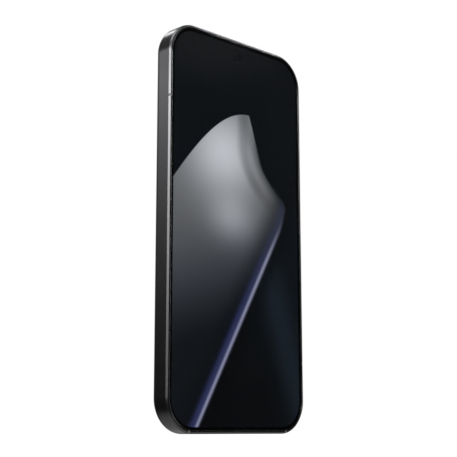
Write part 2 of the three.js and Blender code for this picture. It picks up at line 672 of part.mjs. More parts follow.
function rearCameras() {
  for (const [name, place] of Object.entries(LENSES)) {
    const [x, z] = place;
    const box = block(about(x, HOUSING_SIDE), [moduleFront, housingBack], about(z, HOUSING_SIDE));
    const well = disc(place, BARREL_RADIUS + 4 * BOND, barrelFront - 4 * BOND, housingBack + OVERRUN);
    addNode("lens_glass_" + name, "lens", disc(place, LENS_GLASS_RADIUS, lensGlassFront, lensGlassBack));
    addNode("camera_housing_" + name, "shield", cut(box, well));
    addNode("lens_barrel_" + name, "plastic", disc(place, BARREL_RADIUS, barrelFront, barrelBack));
  }
}

// ---------------------------------------------------------------- boards and battery

/** Room for the front camera where a board or bracket passes it. */
function frontCameraNotch() {
  const half = FRONT_CAMERA_BODY / 2 + 2 * INNER_CLEARANCE;
  return block([-half, halfWidth], [0, BODY_DEPTH], [frontCameraZ - half, BODY_HEIGHT]);
}

function mainBoard() {
  const tall = block([-halfWidth, boardNotchX], [boardFront, boardBack], [boardFoot, BODY_HEIGHT]);
  const foot = block([-halfWidth, boardRight], [boardFront, boardBack], [boardFoot, boardNotchZ]);
  const holes = bosses.map((place) => disc(place, BOSS_RADIUS + SCREW_CLEARANCE * 2, 0, BODY_DEPTH));
  const outline = room(moduleInset, 0, BODY_DEPTH);
  addNode("main_board", "board", cut(join(tall, foot).intersect(outline), frontCameraNotch(), ...holes));
}

function shields() {
  const y = [boardBack + BOND, boardBack + BOND + SHIELD_HEIGHT];
  const [fromLeft, fromNotch] = PROCESSOR_SIDES;
  const ends = PROCESSOR_ENDS.map((height) => boardFoot + height);
  const processor = roundedRectangle(boardLeft + fromLeft, boardNotchX - fromNotch, ...ends, SHIELD_RADIUS);
  addNode("processor_shield", "shield", slab(processor, ...y));
  const radioLeft = boardFlexX + BOARD_FLEX_WIDTH / 2 + INNER_CLEARANCE;
  const radioRight = boardRight - RADIO_SIDE;
  const radioEnds = [boardFoot + RADIO_END, boardNotchZ - RADIO_END];
  const radio = roundedRectangle(radioLeft, radioRight, ...radioEnds, SHIELD_RADIUS);
  addNode("radio_shield", "shield", slab(radio, ...y));
}

function topBracket() {
  const x = [-halfWidth, boardNotchX - INNER_CLEARANCE];
  const plate = block(x, [bracketFront, bracketBack], [boardFoot + INNER_CLEARANCE, BODY_HEIGHT]);
  const inside = plate.intersect(room(moduleInset + INNER_CLEARANCE, 0, BODY_DEPTH));
  const holes = bosses.map((place) => disc(place, SCREW_SHANK_RADIUS + SCREW_CLEARANCE, 0, BODY_DEPTH));
  addNode("top_bracket", "plastic", cut(inside, frontCameraNotch(), ...holes));
  bosses.forEach((place, index) => {
    const under = bracketBack + BOND;
    const head = disc(place, SCREW_HEAD_RADIUS, under, under + SCREW_HEAD_HEIGHT, SMALL_ROUND_STEPS);
    const shank = disc(place, SCREW_SHANK_RADIUS, under - SCREW_SHANK_LENGTH, under + BOND, SMALL_ROUND_STEPS);
    addNode("bracket_screw_" + (index + 1), "steel", join(head, shank));
  });
}

function battery() {
  const x = [-innerX + BATTERY_MARGIN, keyFlexInner - 3 * INNER_CLEARANCE];
  const shape = roundedRectangle(...x, BOTTOM_ZONE, batteryTop, BATTERY_RADIUS);
  addNode("battery", "battery", slab(shape, moduleFront, batteryBack, { bevel: BATTERY_EDGE }));
  const tab = about((bosses[0][0] + bosses[1][0]) / 2, BATTERY_FLEX_WIDTH);
  const front = boardBack + 2 * BOND;
  const end = boardFoot + CONNECTOR_FROM_EDGE + CONNECTOR_LENGTH;
  const strip = block(tab, [front, front + FLEX_THICKNESS], [batteryTop + 2 * BOND, end]);
  const plug = block(tab, [front, front + CONNECTOR_HEIGHT], [end - CONNECTOR_LENGTH, end]);
  addNode("battery_flex", "flex", join(strip, plug));
}

function boardFlex() {
  const x = about(boardFlexX, BOARD_FLEX_WIDTH);
  const foot = about(boardFlexFootX, BOARD_FLEX_WIDTH);
  const across = [Math.min(x[0], foot[0]), Math.max(x[1], foot[1])];
  const low = BOTTOM_ZONE - 2 * BATTERY_GAP;
  const high = boardFoot + 2 * CONNECTOR_FROM_EDGE;
  const front = boardBack + 2 * BOND;
  const made = join(
    block(x, [flexFront, flexBack], [low, high]),
    block(across, [flexFront, flexBack], [low, low + BOARD_FLEX_WIDTH]),
    block(foot, [front, flexBack], [low, low + FLEX_THICKNESS]),
    block(x, [front, flexBack], [high - FLEX_THICKNESS, high]),
    block(foot, [front, front + CONNECTOR_HEIGHT], [low - CONNECTOR_LENGTH, low + FLEX_THICKNESS]),
    block(x, [front, front + CONNECTOR_HEIGHT], [high - FLEX_THICKNESS, high + CONNECTOR_LENGTH]),
  );
  addNode("board_flex", "flex", made);
}

function chargingCoil() {
  const centre = [(keyFlexInner - innerX) / 2, (BOTTOM_ZONE + batteryTop) / 2];
  const ring = disc(centre, COIL_OUTER_RADIUS, coilFront, coilBack);
  addNode("charging_coil", "copper", cut(ring, disc(centre, COIL_INNER_RADIUS, 0, BODY_DEPTH)));
  const half = COIL_OUTER_RADIUS + FERRITE_MARGIN;
  const [x, z] = centre;
  const sheet = roundedRectangle(x - half, x + half, z - half, z + half, BATTERY_RADIUS);
  addNode("coil_ferrite", "graphite", slab(sheet, ferriteFront, ferriteFront + FERRITE_THICKNESS));
}

function subBoard() {
  const foot = USB_LENGTH + PORT_RECESS + INNER_CLEARANCE;
  const shape = roundedRectangle(subBoardLeft, subBoardRight, foot, BOTTOM_ZONE - BATTERY_GAP, SHIELD_RADIUS);
  addNode("sub_board", "board", slab(shape, boardFront, boardBack));
}

// ---------------------------------------------------------------- bottom edge

function chargingSocket() {
  const top = PORT_RECESS + USB_LENGTH;
  const shell = uprightPill(0, portDepth, usbOuter, PORT_RECESS, top);
  const inside = uprightPill(0, portDepth, USB_OPENING, -OVERRUN, top - USB_SHELL_WALL);
  addNode("usb_shell", "steel", cut(shell, inside));
  const [width, depth, length] = USB_TONGUE;
  const end = top - USB_SHELL_WALL - BOND;
  const tongue = block(about(0, width), about(portDepth, depth), [end - length, end]);
  const footSize = USB_OPENING.map((s) => s - 2 * BOND);
  const foot = uprightPill(0, portDepth, footSize, end - USB_TONGUE_FOOT, end);
  addNode("usb_tongue", "plastic", join(tongue, foot));
}

function cardTray() {
  const [width, depth, length] = TRAY_FACE;
  const face = uprightPill(trayX, portDepth, [width, depth], PORT_RECESS, PORT_RECESS + length);
  const body = block(
    about(trayBodyX, TRAY_BODY[0]),
    about(portDepth, TRAY_BODY[1]),
    [PORT_RECESS + length - BOND, PORT_RECESS + TRAY_BODY[2]],
  );
  const [cardWidth, cardDepth, cardLength] = CARD;
  const cardFoot = PORT_RECESS + length + CARD_RAIL;
  const cardFront = portDepth + TRAY_BODY[1] / 2 - BOND - cardDepth;
  const pocket = block(
    about(trayBodyX, cardWidth + 2 * CARD_CLEARANCE),
    [cardFront - CARD_CLEARANCE, BODY_DEPTH],
    [cardFoot - CARD_CLEARANCE, cardFoot + cardLength + CARD_CLEARANCE],
  );
  const pinhole = upright(rodX, portDepth, PINHOLE_RADIUS, -OVERRUN, PORT_RECESS + length + OVERRUN);
  addNode("sim_tray", "darkMetal", cut(join(face, body), pocket, pinhole));
  const card = roundedRectangle(...about(trayBodyX, cardWidth), cardFoot, cardFoot + cardLength, CARD_RADIUS);
  addNode("sim_card", "card", slab(card, cardFront, cardFront + cardDepth));
}

function cardCage() {
  const foot = FRAME_WALL + BOND * 6;
  const x = about(trayBodyX, 2 * (cageX + CAGE_WALL));
  const y = about(portDepth, 2 * (cageY + CAGE_WALL));
  const shell = block(x, y, [foot, CAGE_END]);
  const inside = block(about(trayBodyX, 2 * cageX), about(portDepth, 2 * cageY), [0, CAGE_END + OVERRUN]);
  const [pivotX, pivotZ] = leverPivot;
  const tabEnds = [CAGE_END - OVERRUN, pivotZ + CAGE_TAB_WIDTH / 2];
  const tab = block(about(pivotX, CAGE_TAB_WIDTH), [y[0], y[0] + CAGE_WALL], tabEnds);
  const pin = disc(leverPivot, LEVER_PIN_RADIUS, y[0] + CAGE_WALL / 2, portDepth + cageY, SMALL_ROUND_STEPS);
  addNode("sim_cage", "steel", join(cut(shell, inside), tab, pin));
}

function ejector() {
  const [pivotX, pivotZ] = leverPivot;
  const y = about(portDepth, TRAY_BODY[1]);
  const barFoot = pivotZ - LEVER_BAR / 2;
  const bar = block([rodX - EJECT_ROD_RADIUS, pivotX + TRAY_ARM], y, [barFoot, barFoot + LEVER_BAR]);
  const nubFoot = PORT_RECESS + TRAY_BODY[2] + LEVER_FREE_PLAY;
  const nub = block([pivotX + TRAY_ARM - LEVER_NUB, pivotX + TRAY_ARM], y, [nubFoot, barFoot + LEVER_BAR]);
  const hub = disc(leverPivot, LEVER_HUB_RADIUS, ...y, SMALL_ROUND_STEPS);
  const hole = disc(leverPivot, LEVER_PIN_RADIUS + LEVER_PIN_CLEARANCE, 0, BODY_DEPTH, SMALL_ROUND_STEPS);
  addNode("eject_lever", "steel", cut(join(bar, nub, hub), hole));
  const rodFoot = PORT_RECESS + TRAY_FACE[2] + INNER_CLEARANCE;
  addNode("eject_rod", "steel", upright(rodX, portDepth, EJECT_ROD_RADIUS, rodFoot, barFoot - LEVER_GAP));
}

function loudspeaker() {
  const x = [speakerLeft, innerX - INNER_CLEARANCE];
  const z = [speakerFoot, speakerFoot + SPEAKER_HEIGHT];
  const back = frameBack - 3 * BOND;
  const middle = (moduleFront + back) / 2;
  const wellX = widened(x, -SPEAKER_WALL);
  const wellZ = widened(z, -SPEAKER_WALL);
  const box = block([x[0], halfWidth], [moduleFront, back], z).intersect(room(moduleInset, 0, BODY_DEPTH));
  const wellShape = roundedRectangle(...wellX, ...wellZ, SPEAKER_WELL_RADIUS);
  const well = slab(wellShape, middle - DIAPHRAGM_CLEARANCE, BODY_DEPTH);
  const holes = speakerHoles();
  const ductX = [holes[0] - SPEAKER_HOLE_RADIUS, holes.at(-1) + SPEAKER_HOLE_RADIUS];
  const duct = block(ductX, [middle - DIAPHRAGM_CLEARANCE, middle], [0, wellZ[0] + OVERRUN]);
  addNode("speaker_box", "plastic", cut(box, well, duct));
  const plateRadius = SPEAKER_WELL_RADIUS - INNER_CLEARANCE;
  const plateEdges = [...widened(wellX, -INNER_CLEARANCE), ...widened(wellZ, -INNER_CLEARANCE)];
  const plate = roundedRectangle(...plateEdges, plateRadius);
  addNode("speaker_diaphragm", "plastic", slab(plate, middle, middle + DIAPHRAGM_THICKNESS));
  const meshFoot = FRAME_WALL + 2 * BOND;
  const size = [ductX[1] - ductX[0], 2 * SPEAKER_HOLE_RADIUS].map((s) => s + 2 * SPEAKER_MESH_MARGIN);
  const meshX = (ductX[0] + ductX[1]) / 2;
  addNode("speaker_mesh", "steel", uprightPill(meshX, portDepth, size, meshFoot, meshFoot + MESH_THICKNESS));
}

function hapticMotor() {
  const x = [-innerX + 2 * INNER_CLEARANCE, rodX - EJECT_ROD_RADIUS - 3 * INNER_CLEARANCE];
  const z = [BOTTOM_ZONE - BATTERY_GAP - HAPTIC_HEIGHT, BOTTOM_ZONE - BATTERY_GAP];
  const back = frameBack - 3 * INNER_CLEARANCE;
  const housing = block(x, [moduleFront, back], z);
  const wellX = widened(x, -HAPTIC_WALL);
  const wellZ = widened(z, -HAPTIC_WALL);
  const well = block(wellX, [moduleFront + HAPTIC_WALL, back + OVERRUN], wellZ);
  addNode("haptic_housing", "steel", cut(housing, well));
  const mass = block(
    widened(wellX, -3 * BOND),
    [moduleFront + HAPTIC_WALL + 3 * BOND, back - 3 * BOND],
    widened(wellZ, -HAPTIC_TRAVEL - 3 * BOND),
  );
  addNode("haptic_mass", "shield", mass);
}

// ---------------------------------------------------------------- keys

/** A key with its cap through the wall and a flange behind it. */
function key(name, z, length) {
  const cap = sidePill(keyDepth, z, [KEY_WIDTH, length], flangeOuter - KEY_EDGE, keyX, KEY_EDGE);
  const flangeSize = [KEY_WIDTH + 2 * KEY_FLANGE_MARGIN, length + 2 * INNER_CLEARANCE];
  const flange = sidePill(keyDepth, z, flangeSize, flangeInner, flangeOuter);
  addNode(name, "darkMetal", join(cap, flange));
}

function keys() {
  key("power_key", POWER_KEY_Z, POWER_KEY_LENGTH);
  key("volume_key", VOLUME_KEY_Z, VOLUME_KEY_LENGTH);
  const domes = {
    power_dome: POWER_KEY_Z,
    volume_up_dome: VOLUME_KEY_Z + DOME_OFFSET,
    volume_down_dome: VOLUME_KEY_Z - DOME_OFFSET,
  };
  for (const [name, z] of Object.entries(domes)) {
    const size = [DOME_RADIUS * 2, DOME_RADIUS * 2];
    addNode(name, "steel", sidePill(keyDepth, z, size, domeInner, domeOuter));
  }
  const foot = POWER_KEY_Z - POWER_KEY_LENGTH / 2;
  const head = VOLUME_KEY_Z + VOLUME_KEY_LENGTH / 2;
  const depths = about(keyDepth, KEY_WIDTH + 2 * KEY_FLANGE_MARGIN);
  const strip = block([keyFlexInner, keyFlexOuter], depths, [foot, head]);
  addNode("key_flex", "flex", strip);
}

midFrame();
antennaInserts();
coverGlass();
frontGasket();
displayPanel();
displayFlex();
heatSpreader();
fingerprintSensor();
frontCamera();
earpiece();
rearCover();
rearGasket();
cameraIsland();
rearCameras();
mainBoard();
shields();
topBracket();
battery();
boardFlex();
chargingCoil();
subBoard();
chargingSocket();
cardTray();
cardCage();
ejector();
loudspeaker();
hapticMotor();
keys();

// The origin is the middle of the footprint of everything, keys and camera island included.
group.position.set(-KEY_PROUD / 2, -(glassFront + islandBack) / 2, 0);

export default group;
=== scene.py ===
"""The finished look of a slab smartphone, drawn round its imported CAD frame.

The CAD part gives every place: the helpers here read its boxes in millimetres, shape
each visible piece in millimetres, and turn it into metres when the piece is made.
X runs across the display, Y from the display to the rear cover, and Z up the phone.
"""

import logging
import math
from collections.abc import Iterable, Sequence
from dataclasses import dataclass, field
from enum import Enum

import bmesh
import bpy
from mathutils import Matrix, Vector


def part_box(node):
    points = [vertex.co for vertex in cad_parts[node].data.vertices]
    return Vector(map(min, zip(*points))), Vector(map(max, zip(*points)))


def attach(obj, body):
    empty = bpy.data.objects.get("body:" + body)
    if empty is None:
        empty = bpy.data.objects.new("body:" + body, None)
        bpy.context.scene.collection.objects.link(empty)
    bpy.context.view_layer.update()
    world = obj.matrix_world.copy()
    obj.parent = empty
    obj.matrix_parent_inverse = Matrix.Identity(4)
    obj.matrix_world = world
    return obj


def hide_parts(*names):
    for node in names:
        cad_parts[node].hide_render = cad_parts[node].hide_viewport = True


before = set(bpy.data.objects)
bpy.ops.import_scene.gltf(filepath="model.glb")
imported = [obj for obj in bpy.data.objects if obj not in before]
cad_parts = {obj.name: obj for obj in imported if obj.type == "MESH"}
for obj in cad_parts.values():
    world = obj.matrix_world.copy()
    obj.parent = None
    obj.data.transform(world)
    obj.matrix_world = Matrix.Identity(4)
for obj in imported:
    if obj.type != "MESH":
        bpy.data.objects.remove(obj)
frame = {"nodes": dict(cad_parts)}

MM = 0.001
SHARP_ANGLE = math.radians(32)
MIX_FIRST, MIX_SECOND, MIX_RESULT = 6, 7, 2
SENSOR_WIDTH = 36.0
LOG = logging.getLogger("phone")

Pair = tuple[float, float]
Corner = tuple[float, float, float]
Colour = tuple[float, float, float]
Value = float | bpy.types.NodeSocket


# ------------------------------------------------------------------ places


class Body(Enum):
    """The CAD bodies that pieces ride on."""

    PHONE = "phone_body"
    POWER_KEY = "power_key"
    VOLUME_KEY = "volume_key"
    TRAY = "sim_tray"
    MAIN_LENS = "main_lens"
    TELE_LENS = "tele_lens"


class Slot(Enum):
    """The record's material slots."""

    DARK_METAL = "dark_metal"
    INSULATOR = "insulator"
    FRONT_GLASS = "front_glass"
    DISPLAY = "display"
    REAR_GLASS = "rear_glass"
    LENS = "lens"
    FLASH = "flash"
    ADHESIVE = "adhesive"
    BOARD = "board"
    SHIELD = "shield"
    STEEL = "steel"
    PLASTIC = "plastic"
    FLEX = "flex"
    GRAPHITE = "graphite"
    BATTERY = "battery"
    COPPER = "copper"
    CARD = "card"


class Axis(Enum):
    """The direction in which a plan is raised into a solid."""

    X = "across"
    Y = "through"
    Z = "upward"

    def place(self, first: float, second: float, height: float) -> Vector:
        """The point at (first, second) of a plan, raised by height."""
        if self is Axis.X:
            return Vector((height, first, second))
        if self is Axis.Y:
            return Vector((first, height, second))
        return Vector((first, second, height))


@dataclass(frozen=True)
class Box:
    """The space that CAD nodes fill at rest, in millimetres."""

    low: Vector
    high: Vector

    @property
    def centre(self) -> Vector:
        """The middle of the box."""
        return (self.low + self.high) / 2

    @property
    def size(self) -> Vector:
        """The length of each side."""
        return self.high - self.low

    def plan(self, axis: Axis) -> tuple[Pair, Pair]:
        """The centre and size of the box as seen along an axis.

        Args:
            axis: The direction to look along.

        Returns:
            The centre and the size, each as the two coordinates across the axis.
        """
        kept = {Axis.X: (1, 2), Axis.Y: (0, 2), Axis.Z: (0, 1)}[axis]
        centre, size = self.centre, self.size
        return (centre[kept[0]], centre[kept[1]]), (size[kept[0]], size[kept[1]])


def box_of(*nodes: str) -> Box:
    """Finds the space that some CAD nodes fill together.

    Args:
        nodes: The names of the CAD nodes.

    Returns:
        Their common box, in millimetres.
    """
    corners = [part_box(node) for node in nodes]
    low = Vector([min(c[0][k] for c in corners) for k in range(3)]) / MM
    high = Vector([max(c[1][k] for c in corners) for k in range(3)]) / MM
    return Box(low, high)


# ------------------------------------------------------------------ shapes


@dataclass(frozen=True)
class Plan:
    """A rectangle with round corners; a disc and a pill are its limits."""

    centre: Pair
    size: Pair
    radius: float
    axis: Axis = Axis.Y
    steps: int = 12

    @classmethod
    def disc(cls, centre: Pair, radius: float, axis: Axis = Axis.Y, steps: int = 14) -> "Plan":
        """A round plan of this radius."""
        return cls(centre, (2 * radius, 2 * radius), radius, axis, steps)

    @classmethod
    def pill(cls, centre: Pair, size: Pair, axis: Axis, steps: int = 10) -> "Plan":
        """A plan whose short ends are half circles."""
        return cls(centre, size, min(size) / 2, axis, steps)

    @classmethod
    def rectangle(cls, low: Pair, high: Pair, axis: Axis = Axis.Y, radius: float = 0.0) -> "Plan":
        """A plan between two opposite corners."""
        centre = ((low[0] + high[0]) / 2, (low[1] + high[1]) / 2)
        size = (high[0] - low[0], high[1] - low[1])
        return cls(centre, size, radius, axis, 4 if radius else 1)

    def grown(self, margin: float) -> "Plan":
        """The same plan, larger by a margin all round."""
        size = (self.size[0] + 2 * margin, self.size[1] + 2 * margin)
        return Plan(self.centre, size, max(self.radius + margin, 0.0), self.axis, self.steps)

    def ring(self, inset: float, height: float) -> list[Vector]:
        """Points round the outline at one height.

        Args:
            inset: How far the points lie inside the outline.
            height: Where they lie along the plan's axis.

        Returns:
            The same number of points for every inset, so that rings join up.
        """
        radius = max(self.radius - inset, 0.0)
        reach = [max(size / 2 - inset - radius, 0.0) for size in self.size]
        points = []
        for quarter in range(4):
            side = (1 if quarter in (0, 3) else -1, 1 if quarter in (0, 1) else -1)
            for step in range(self.steps + 1):
                angle = (quarter + step / self.steps) * math.pi / 2
                first = self.centre[0] + side[0] * reach[0] + radius * math.cos(angle)
                second = self.centre[1] + side[1] * reach[1] + radius * math.sin(angle)
                points.append(self.axis.place(first, second, height))
        return points


def profile(corners: Sequence[Corner], closed: bool = False, steps: int = 4) -> list[Pair]:
    """Draws a line through corners, each rounded by its own radius.

    Args:
        corners: Inset, height and radius of each corner, in order.
        closed: Whether the line returns to its first corner.
        steps: Segments in each rounding.

    Returns:
        Stations of inset and height for a loft.
    """
    line: list[Pair] = []
    count = len(corners)
    for index, (inset, height, radius) in enumerate(corners):
        at_end = not closed and index in (0, count - 1)
        if at_end or radius <= 0:
            line.append((inset, height))
            continue
        here = Vector((inset, height))
        back = Vector(corners[index - 1][:2]) - here
        ahead = Vector(corners[(index + 1) % count][:2]) - here
        half = back.angle(ahead) / 2
        reach = min(radius / math.tan(half), 0.49 * back.length, 0.49 * ahead.length)
        bow = reach * math.tan(half)
        middle = here + (back.normalized() + ahead.normalized()).normalized() * bow / math.sin(half)
        start = here + back.normalized() * reach - middle
        end = here + ahead.normalized() * reach - middle
        for step in range(steps + 1):
            turned = start.normalized().slerp(end.normalized(), step / steps) * start.length
            line.append((middle.x + turned.x, middle.y + turned.y))
    return line


def edged(low: float, high: float, low_edge: float = 0.0, high_edge: float = 0.0) -> list[Pair]:
    """Stations of a plain slab whose two rims are rounded.

    Args:
        low: Height of the first face.
        high: Height of the last face.
        low_edge: Rounding of the first face's rim.
        high_edge: Rounding of the last face's rim.

    Returns:
        Stations for a capped loft.
    """
    corners = [(low_edge, low, 0.0), (0.0, low, low_edge), (0.0, high, high_edge)]
    return profile([*corners, (high_edge, high, 0.0)], steps=4)


def flared(outside: float, inside: float, flare: float) -> list[Pair]:
    """Stations of a tool that cuts a hole with a broken edge.

    Args:
        outside: Height of the face that the hole opens.
        inside: Height where the hole ends.
        flare: Width of the broken edge.

    Returns:
        Stations for a capped loft.
    """
    way = math.copysign(1.0, outside - inside)
    return [(-flare, outside + way), (-flare, outside), (0.0, outside - way * flare), (0.0, inside)]


class Shape:
    """A mesh in millimetres that grows by lofts and cuts until it becomes a piece."""

    def __init__(self) -> None:
        """Starts empty."""
        self.mesh = bmesh.new()

    @classmethod
    def raised(cls, plan: Plan, stations: Sequence[Pair], hollow: bool = False) -> "Shape":
        """A new shape with one loft."""
        return cls().loft(plan, stations, hollow)

    def loft(self, plan: Plan, stations: Sequence[Pair], hollow: bool = False) -> "Shape":
        """Adds one closed body that follows a plan through stations.

        Args:
            plan: The outline.
            stations: Inset and height of each ring.
            hollow: Whether the last ring joins the first, instead of both being capped.

        Returns:
            This shape.
        """
        made = bmesh.new()
        rings = [[made.verts.new(p) for p in plan.ring(*station)] for station in stations]
        following = rings[1:] + rings[:1] if hollow else rings[1:]
        for low, high in zip(rings, following):
            for index in range(len(low)):
                after = (index + 1) % len(low)
                made.faces.new((low[index], low[after], high[after], high[index]))
        if not hollow:
            made.faces.new(rings[0][::-1])
            made.faces.new(rings[-1])
        bmesh.ops.remove_doubles(made, verts=made.verts, dist=1e-4)
        bmesh.ops.dissolve_degenerate(made, edges=made.edges, dist=1e-5)
        bmesh.ops.recalc_face_normals(made, faces=made.faces)
        self.add(made)
        made.free()
        return self

    def add(self, other: bmesh.types.BMesh) -> None:
        """Takes in a copy of another mesh."""
        held = bpy.data.meshes.new("held")
        other.to_mesh(held)
        self.mesh.from_mesh(held)
        bpy.data.meshes.remove(held)

    def copy(self) -> "Shape":
        """A separate shape with the same mesh."""
        twin = Shape()
        twin.add(self.mesh)
        return twin

    def cut(self, *tools: "Shape") -> "Shape":
        """Takes the tools' space away."""
        return self._combine("DIFFERENCE", tools)

    def fuse(self, tool: "Shape") -> "Shape":
        """Joins the tool's space to this one."""
        return self._combine("UNION", [tool])

    def keep(self, tool: "Shape") -> "Shape":
        """Keeps only what lies inside the tool."""
        return self._combine("INTERSECT", [tool])

    def _combine(self, operation: str, tools: Iterable["Shape"]) -> "Shape":
        """Runs one boolean for each tool, and uses the tools up."""
        subject = self._stand("subject")
        helpers = [tool._stand("tool") for tool in tools]
        for helper in helpers:
            modifier = subject.modifiers.new("combine", "BOOLEAN")
            modifier.operation = operation
            modifier.solver = "EXACT"
            modifier.object = helper
        bpy.context.view_layer.update()
        shaped = subject.evaluated_get(bpy.context.evaluated_depsgraph_get())
        self.mesh.clear()
        self.mesh.from_mesh(shaped.data)
        for used in [subject, *helpers]:
            bpy.data.meshes.remove(used.data)
        return self

    def _stand(self, name: str) -> bpy.types.Object:
        """Puts the mesh in the scene for a boolean."""
        mesh = bpy.data.meshes.new(name)
        self.mesh.to_mesh(mesh)
        made = bpy.data.objects.new(name, mesh)
        bpy.context.scene.collection.objects.link(made)
        return made

    def piece(
        self,
        name: str,
        finish: "Finish",
        slot: Slot,
        body: Body = Body.PHONE,
        replaces: Sequence[str] = (),
    ) -> bpy.types.Object:
        """Turns the shape into a piece of the phone, in metres.

        Args:
            name: The piece's name.
            finish: What it looks like.
            slot: The record's material slot that it belongs to; not used.
            body: The CAD body that it rides on.
            replaces: CAD nodes that it stands for.

        Returns:
            The new object.
        """
        bmesh.ops.scale(self.mesh, vec=(MM, MM, MM), verts=self.mesh.verts)
        made = self._stand(name)
        made.data.name = name
        made.data.shade_smooth()
        made.data.set_sharp_from_angle(angle=SHARP_ANGLE)
        weighted = made.modifiers.new("flat faces stay flat", "WEIGHTED_NORMAL")
        weighted.keep_sharp = True
        made.data.materials.append(finish.material())
        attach(made, body.value)
        if replaces:
            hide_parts(*replaces)
        LOG.info("%s: %d faces, %s", name, len(made.data.polygons), finish.name)
        self.mesh.free()
        return made


# ------------------------------------------------------------------ node wiring


class Wiring:
    """Adds nodes to a tree, and works out sums on their sockets."""

    def __init__(self, tree: bpy.types.NodeTree) -> None:
        """Works in this tree."""
        self.tree = tree

    def add(self, kind: str, **settings: object) -> bpy.types.Node:
        """A new node with these properties set."""
        node = self.tree.nodes.new(kind)
        for key, value in settings.items():
            setattr(node, key, value)
        return node

    def feed(self, target: bpy.types.NodeSocket, value: "Value | Colour | Vector") -> None:
        """Links a socket into target, or sets target to a plain value."""
        if isinstance(value, bpy.types.NodeSocket):
            self.tree.links.new(value, target)
        elif target.type == "RGBA":
            target.default_value = (*value, 1.0) if len(value) == 3 else value
        else:
            target.default_value = value

    def sum(self, operation: str, *values: Value) -> bpy.types.NodeSocket:
        """The result of a Math node."""
        node = self.add("ShaderNodeMath", operation=operation)
        for target, value in zip(node.inputs, values):
            self.feed(target, value)
        return node.outputs[0]

    def plus(self, *values: Value) -> bpy.types.NodeSocket:
        """The values added up."""
        total = self.sum("ADD", values[0], values[1])
        for value in values[2:]:
            total = self.sum("ADD", total, value)
        return total

    def times(self, *values: Value) -> bpy.types.NodeSocket:
        """The values multiplied."""
        product = self.sum("MULTIPLY", values[0], values[1])
        for value in values[2:]:
            product = self.sum("MULTIPLY", product, value)
        return product

    def span(
        self, value: Value, start: float, end: float, low: float = 0.0, high: float = 1.0, soft: bool = True
    ) -> bpy.types.NodeSocket:
        """Maps start..end to low..high and holds it there.

        Args:
            value: What to map.
            start: Where the result is low.
            end: Where the result is high.
            low: The first result.
            high: The last result.
            soft: Whether the change eases in and out.

        Returns:
            The mapped value.
        """
        node = self.add("ShaderNodeMapRange", interpolation_type="SMOOTHSTEP" if soft else "LINEAR")
        given = {"Value": value, "From Min": start, "From Max": end, "To Min": low, "To Max": high}
        for key, amount in given.items():
            self.feed(node.inputs[key], amount)
        return node.outputs["Result"]

    def mix(self, share: Value, first: object, second: object, blend: str = "MIX") -> bpy.types.NodeSocket:
        """A mix of two colours."""
        node = self.add("ShaderNodeMix", data_type="RGBA", blend_type=blend)
        self.feed(node.inputs[0], share)
        self.feed(node.inputs[MIX_FIRST], first)
        self.feed(node.inputs[MIX_SECOND], second)
        return node.outputs[MIX_RESULT]

    def grey(self, value: Value) -> bpy.types.NodeSocket:
        """A value as a grey colour."""
        node = self.add("ShaderNodeCombineColor")
        for target in node.inputs:
            self.feed(target, value)
        return node.outputs[0]

    def position(self) -> bpy.types.NodeSocket:
        """The point on the surface, in the part's frame, in millimetres."""
        node = self.add("ShaderNodeVectorMath", operation="SCALE")
        self.feed(node.inputs[0], self.add("ShaderNodeTexCoord").outputs["Object"])
        node.inputs["Scale"].default_value = 1 / MM
        return node.outputs[0]

    def split(self, vector: bpy.types.NodeSocket) -> list[bpy.types.NodeSocket]:
        """The three parts of a vector."""
        node = self.add("ShaderNodeSeparateXYZ")
        self.feed(node.inputs[0], vector)
        return list(node.outputs)

    def noise(self, vector: Value, scale: Value, detail: float = 2.0) -> bpy.types.NodeSocket:
        """Soft noise from 0 to 1."""
        node = self.add("ShaderNodeTexNoise")
        self.feed(node.inputs["Vector"], vector)
        self.feed(node.inputs["Scale"], scale)
        node.inputs["Detail"].default_value = detail
        return node.outputs["Fac"]

    def place(self, group: bpy.types.NodeTree, **values: object) -> dict[str, bpy.types.NodeSocket]:
        """Adds a node group with these inputs.

        Args:
            group: The shared group.
            values: A value or a socket for each input, with _ for a space.

        Returns:
            The group's outputs by name.
        """
        node = self.add("ShaderNodeGroup", node_tree=group)
        for key, value in values.items():
            self.feed(node.inputs[key.replace("_", " ")], value)
        return {output.name: output for output in node.outputs}


